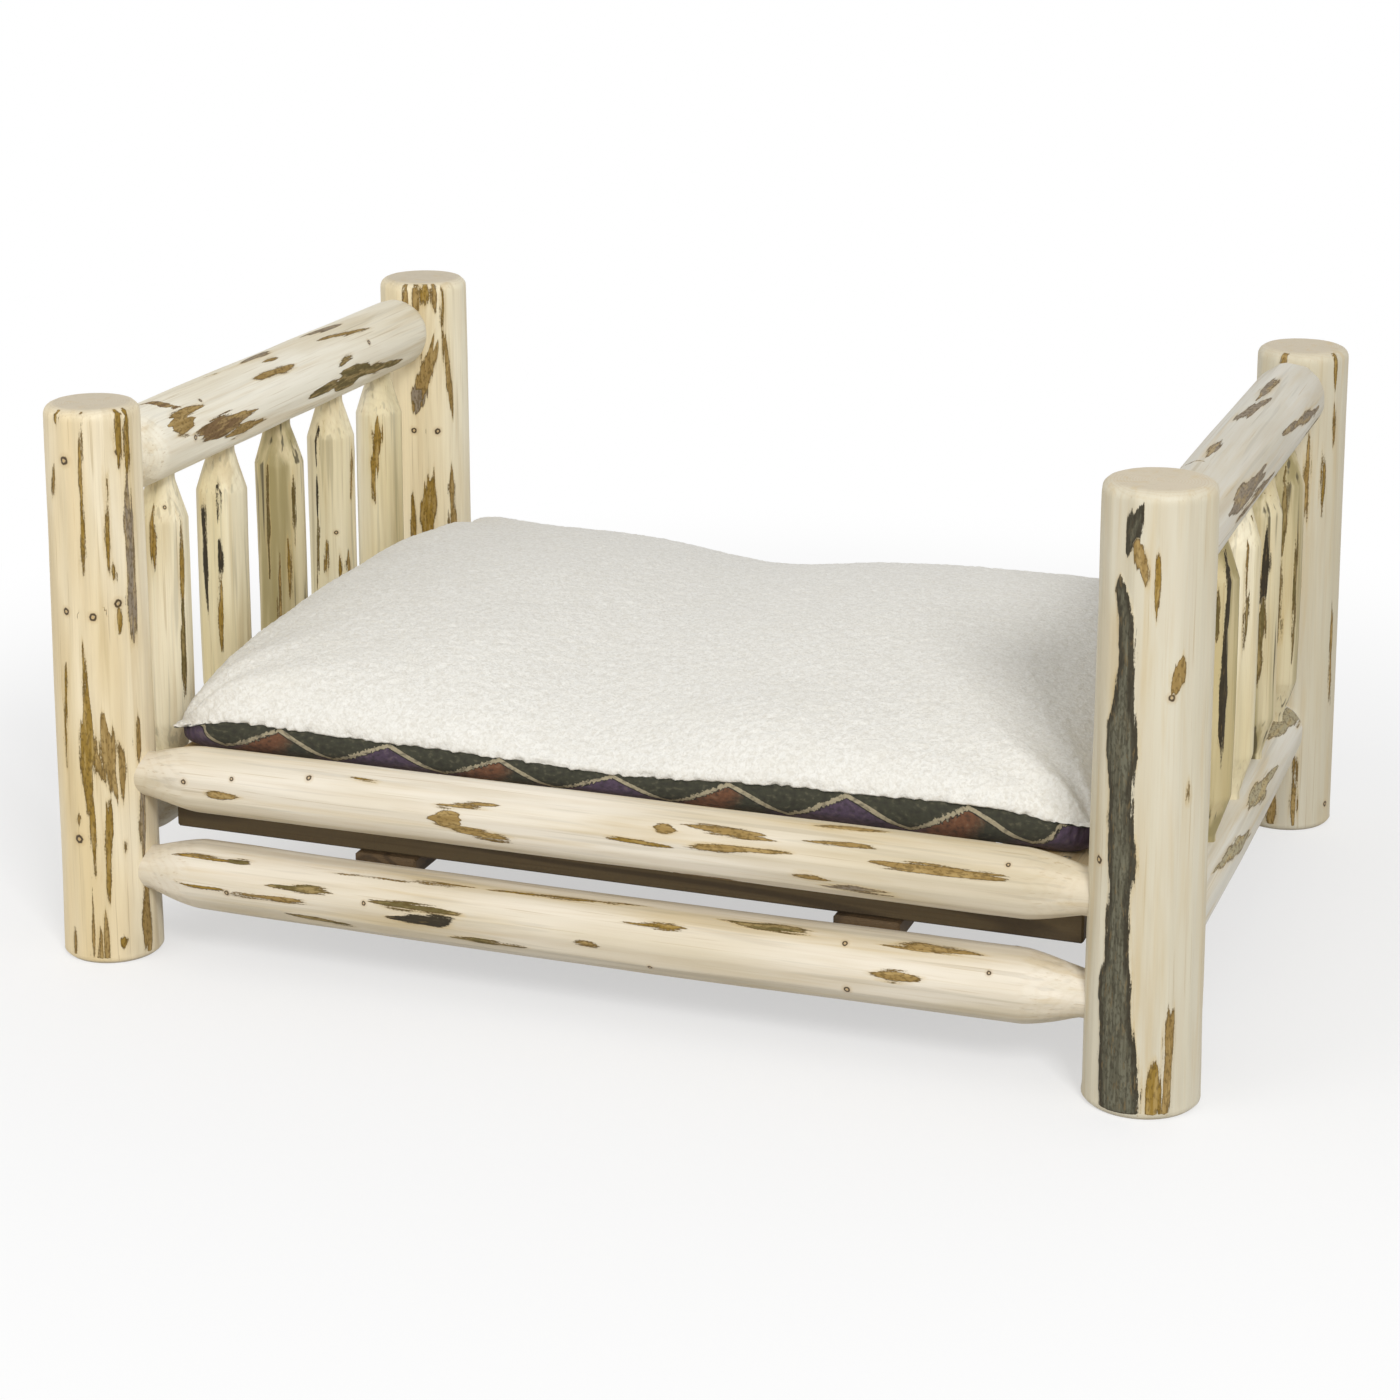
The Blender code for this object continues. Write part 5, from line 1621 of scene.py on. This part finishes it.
def inflate(points, faces):
    """The points after filling: sideways moves lessened, and none moved further than the cap."""
    shift = (pressed_out(points, faces) - points) * np.array([SIDEWAYS_SHARE, SIDEWAYS_SHARE, 1.0])
    length = np.linalg.norm(shift, axis=1, keepdims=True)
    print("share of points that reach the cap:", (length > MOVE_CAP).mean().round(3))
    return points + shift * np.minimum(1, MOVE_CAP / np.maximum(length, TINY))


def filled_sheets():
    """The two sheets after filling, as grids of points."""
    a, b = sheet_parameters()
    top, base = top_sheet(a, b), base_sheet(a, b)
    top_index = np.arange(a.size).reshape(a.shape)
    base_index = top_index.copy()
    inner = (slice(1, -1), slice(1, -1))
    base_index[inner] = a.size + np.arange(a[inner].size).reshape(a[inner].shape)
    points = np.concatenate([top.reshape(-1, 3), base[inner].reshape(-1, 3)])
    moved = inflate(points, [grid_quads(top_index), grid_quads(base_index)[:, ::-1]])
    return moved[top_index], moved[base_index]


top_points, base_points = filled_sheets()
print("cushion top spans", np.ptp(top_points.reshape(-1, 3), axis=0).round(4))

# %% [markdown]
# After filling, the grids are made finer by a smooth cubic blend of neighbouring points, which a
# Subdivision Surface could do too, but then the nap would have to follow as a Displace modifier. The
# seam is pulled in to a groove.

# %% Finer sheets with a seam
SEAM_TUCK, SEAM_REACH = 0.003, 0.010


def blend_matrix(count, fineness):
    """Matrix that takes a row of points to a finer one by Catmull-Rom cubics."""
    fine = (count - 1) * fineness + 1
    place = np.arange(fine) / fineness
    cell = np.minimum(place.astype(int), count - 2)
    t = (place - cell)[:, None]
    weights = 0.5 * np.concatenate([-t + 2 * t ** 2 - t ** 3, 2 - 5 * t ** 2 + 3 * t ** 3,
                                    t + 4 * t ** 2 - 3 * t ** 3, -t ** 2 + t ** 3], axis=1)
    matrix = np.zeros((fine, count))
    for k in range(4):
        np.add.at(matrix, (np.arange(fine), np.clip(cell + k - 1, 0, count - 1)), weights[:, k])
    return matrix


def finer(grid, fineness):
    """A finer grid of points, blended along both directions."""
    rows, columns = (blend_matrix(count, fineness) for count in grid.shape[:2])
    return np.einsum("cj,rjk->rck", columns, np.einsum("ri,ijk->rjk", rows, grid))


def travel_along(grid, axis):
    """Distance along each grid line of one direction from its first point."""
    step = np.linalg.norm(np.diff(grid, axis=axis), axis=-1)
    return np.cumsum(np.insert(step, 0, 0.0, axis=axis), axis=axis)


def border_distance(grid):
    """Distance of each grid point from the border, along the nearer grid line."""
    runs = enumerate(travel_along(grid, axis) for axis in (0, 1))
    return np.minimum(*(np.minimum(run, np.take(run, [-1], axis=axis) - run) for axis, run in runs))


def tuck_seam(grid):
    """Pulls the border in towards the middle by SEAM_TUCK, fading out over SEAM_REACH."""
    share = (1 - np.clip(border_distance(grid) / SEAM_REACH, 0, 1)) ** 2
    inward = -grid / np.maximum(np.linalg.norm(grid[..., :2], axis=-1, keepdims=True), TINY)
    inward[..., 2] = 0
    return grid + SEAM_TUCK * share[..., None] * inward


def border_ring(index):
    """Point numbers round the border of a grid, in order."""
    return np.concatenate([index[:-1, 0], index[-1, :-1], index[:0:-1, -1], index[0, :0:-1]])


def closed_sheet(name, grid, faces_up, material, fields):
    """A sheet closed by a fan from its border to one point inside the cushion."""
    index = np.arange(grid[..., 0].size).reshape(grid.shape[:2])
    quads = grid_quads(index)
    ring = border_ring(index)
    hub = np.full(len(ring), index.size)
    fan = np.stack([np.roll(ring, -1), ring, hub], axis=-1)
    points = np.concatenate([grid.reshape(-1, 3), [(0, 0, SEAM_HEIGHT)]])
    faces = [quads, fan] if faces_up else [quads[:, ::-1], fan[:, ::-1]]
    return make_piece(name, points, faces, material, fields)


print("seam groove:", SEAM_TUCK, "m deep")

# %% [markdown]
# Fleece is off-white, matt and soft at its edges, which is what sheen is for. Its nap is small curls
# that stand off the cloth and hang over the seam. Hair would show each fibre, but the exported mesh
# would lose it, so the larger curls are in the mesh and the finer ones in the bump.

# %% Fleece
FLEECE_FINENESS = 4
CURL_SIZE, CURL_HEIGHT, CURL_SEED = 0.0058, 0.0008, 71
CRUMB_SIZE, CRUMB_HEIGHT, CRUMB_SEED = 0.0027, 0.0004, 72
FRINGE_HEIGHT, FRINGE_REACH = 0.0020, (0.001, 0.010)
CURL_TONES = ((0.30, paint(219, 215, 205)), (0.62, paint(237, 235, 228)))
PILE_NOISE, PATCH_NOISE, LOOP_SCALE, LOOP_SMOOTH = 260, 26, 420.0, 0.6
PILE_DISTORTION = 0.8
PATCH_TINT = Tint(0.45, 0.75, 0.25, paint(226, 222, 211))
PILE_HEIGHT, LOOP_HEIGHT, PILE_BUMP, PILE_DEPTH = 0.8, -0.7, 0.6, 0.0012
FLEECE_ROUGHNESS, FLEECE_SHEEN, SHEEN_ROUGHNESS = 0.95, 0.25, 0.6


def grid_normals(grid):
    """Unit normals of a grid: the cross product of its two directions."""
    normal = np.cross(np.gradient(grid, axis=0), np.gradient(grid, axis=1))
    return normal / np.maximum(np.linalg.norm(normal, axis=-1, keepdims=True), TINY)


def fleece_points(grid):
    """The top sheet with its nap: two sizes of curl along the normal, larger at the seam."""
    grid = tuck_seam(finer(grid, FLEECE_FINENESS))
    near_seam = 1 - smooth_step(border_distance(grid), *FRINGE_REACH)
    curls = soft_noise(grid / CURL_SIZE, CURL_SEED) * (CURL_HEIGHT + FRINGE_HEIGHT * near_seam)
    crumbs = soft_noise(grid / CRUMB_SIZE, CRUMB_SEED) * CRUMB_HEIGHT
    return grid + (curls + crumbs + FRINGE_HEIGHT * near_seam)[..., None] * grid_normals(grid)


def fleece_material():
    """Curly off-white pile."""
    material, graph, shader = new_material("curly_fleece")
    coords = graph.coords()
    curl = graph.noise(coords, PILE_NOISE, 3, PILE_DISTORTION)
    colour = graph.tint(graph.ramp(curl, CURL_TONES), graph.noise(coords, PATCH_NOISE, 2), PATCH_TINT)
    loops = graph.add("TexVoronoi", {"feature": "SMOOTH_F1"}, Vector=coords, Scale=LOOP_SCALE,
                      Smoothness=LOOP_SMOOTH).outputs["Distance"]
    height = graph.scaled(curl, PILE_HEIGHT, graph.times(loops, LOOP_HEIGHT))
    graph.dress(shader, Base_Color=colour, Roughness=FLEECE_ROUGHNESS, Sheen_Weight=FLEECE_SHEEN,
                Sheen_Roughness=SHEEN_ROUGHNESS, Normal=graph.bump(height, PILE_BUMP, PILE_DEPTH))
    return material


fleece = closed_sheet("cushion_fleece", fleece_points(top_points), True, fleece_material(), None)
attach(fleece, "cushion")
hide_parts("cushion_fleece_top", "cushion_filling")
print("fleece faces:", len(fleece.data.polygons))

# %% [markdown]
# The print is a plain zigzag on a dark ground, with a pale line and patches of plum and rust. It is
# drawn from the flat cloth's own coordinates: the distance along the front seam and the distance in
# from it. Small noise moves those coordinates, so every edge is as ragged as yarn, and broader noise
# makes the colours heathered.

# %% Printed base
BASE_FINENESS = 2
ZIGZAG_LENGTH, ZIGZAG_HEIGHT, ZIGZAG_START = 0.115, 0.021, 0.001
STRIPE_REPEAT, PATCH_REPEAT, PATCH_LEAN = 0.096, 0.230, 0.8
PATCH_FROM, PATCH_TO = (0.045, 0.046), (0.499, 0.50)
YARN_RAGGED, YARN_NOISE = 0.0045, 420
CHARCOAL, PLUM_CLOTH, RUST = paint(60, 60, 44), paint(84, 66, 88), paint(122, 78, 50)
BEIGE, NEAR_BLACK, HEATHER = paint(184, 172, 142), paint(38, 35, 28), paint(44, 42, 38)
PATCHES = ((0.0, PLUM_CLOTH), (0.36, PLUM_CLOTH), (0.42, RUST), (0.54, RUST), (0.62, CHARCOAL),
           (0.72, CHARCOAL), (0.80, PLUM_CLOTH))
STRIPES = ((0.0, BEIGE), (0.032, NEAR_BLACK), (0.045, PLUM_CLOTH), (0.50, NEAR_BLACK), (0.53, BEIGE),
           (0.555, CHARCOAL))
HEATHER_NOISE, HEATHER_SHARE = 900, 0.40
WORN_STRETCH, WORN_NOISE, WORN_TINT = (1, 1.6, 1), 170, Tint(0.46, 0.70, 0.60, NEAR_BLACK)
FLECKS, FLECK_SHARE = (0.30, 0.46), 0.10
THREAD_WIDTH, WEAVE_BUMP, WEAVE_DEPTH = 0.0009, 0.4, 0.0003
PRINT_ROUGHNESS, PRINT_SHEEN = 0.88, 0.1


def zigzag_colour(graph, along, inward):
    """Stripes of inward minus a triangle wave of along, over patches that change along the cloth."""
    triangle = graph.math("PINGPONG", along, ZIGZAG_LENGTH / 2)
    wave = graph.times(triangle, 2 * ZIGZAG_HEIGHT / ZIGZAG_LENGTH)
    from_line = graph.minus(graph.minus(inward, wave), ZIGZAG_START)
    stripe = graph.math("FRACT", graph.math("DIVIDE", from_line, STRIPE_REPEAT))
    lean = graph.scaled(inward, PATCH_LEAN, along)
    patch = graph.math("FRACT", graph.math("DIVIDE", lean, PATCH_REPEAT))
    in_patch = graph.times(graph.step(stripe, *PATCH_FROM), graph.rest(graph.step(stripe, *PATCH_TO)))
    return graph.mix(in_patch, graph.ramp(stripe, STRIPES, "CONSTANT"), graph.ramp(patch, PATCHES))


def print_material():
    """Dark heathered cotton with a zigzag print and a plain weave."""
    material, graph, shader = new_material("zigzag_print")
    flat = graph.field("flat_cloth", "Vector")
    along, inward = graph.axis(flat, "X"), graph.axis(flat, "Y")
    ragged = graph.centred(graph.noise(flat, YARN_NOISE, 3))
    colour = zigzag_colour(graph, graph.scaled(ragged, 2 * YARN_RAGGED, along),
                           graph.scaled(ragged, YARN_RAGGED, inward))
    heather = graph.times(graph.noise(flat, HEATHER_NOISE, 3), HEATHER_SHARE)
    colour = graph.mix(heather, colour, HEATHER)
    worn = graph.noise(graph.stretch(flat, WORN_STRETCH), WORN_NOISE, 3)
    colour = graph.tint(colour, worn, WORN_TINT)
    flecks = graph.times(graph.rest(graph.step(worn, *FLECKS)), FLECK_SHARE)
    colour = graph.mix(flecks, colour, BEIGE)
    threads = (graph.math("SINE", graph.times(place, 2 * math.pi / THREAD_WIDTH))
               for place in (along, inward))
    graph.dress(shader, Base_Color=colour, Roughness=PRINT_ROUGHNESS, Sheen_Weight=PRINT_SHEEN,
                Normal=graph.bump(graph.times(*threads), WEAVE_BUMP, WEAVE_DEPTH))
    return material


def flat_cloth(grid):
    """Place of each point on the uncut cloth: distances along its two middle lines, the hub at 0."""
    middle_row, middle_column = grid.shape[0] // 2, grid.shape[1] // 2
    along = travel_along(grid, 0)[:, middle_column]
    inward = travel_along(grid, 1)[middle_row]
    sides = np.broadcast_arrays((along - along[middle_row])[:, None], inward, 0.0)
    return np.concatenate([np.stack(sides, axis=-1).reshape(-1, 3), np.zeros((1, 3))])


base_grid = tuck_seam(finer(base_points, BASE_FINENESS))
base_grid[..., 2] = np.maximum(base_grid[..., 2], DECK_TOP + DECK_GAP)
base = closed_sheet("cushion_print", base_grid, False, print_material(),
                    {"flat_cloth": flat_cloth(base_grid)})
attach(base, "cushion")
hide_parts("cushion_print_base")
print("print faces:", len(base.data.polygons))
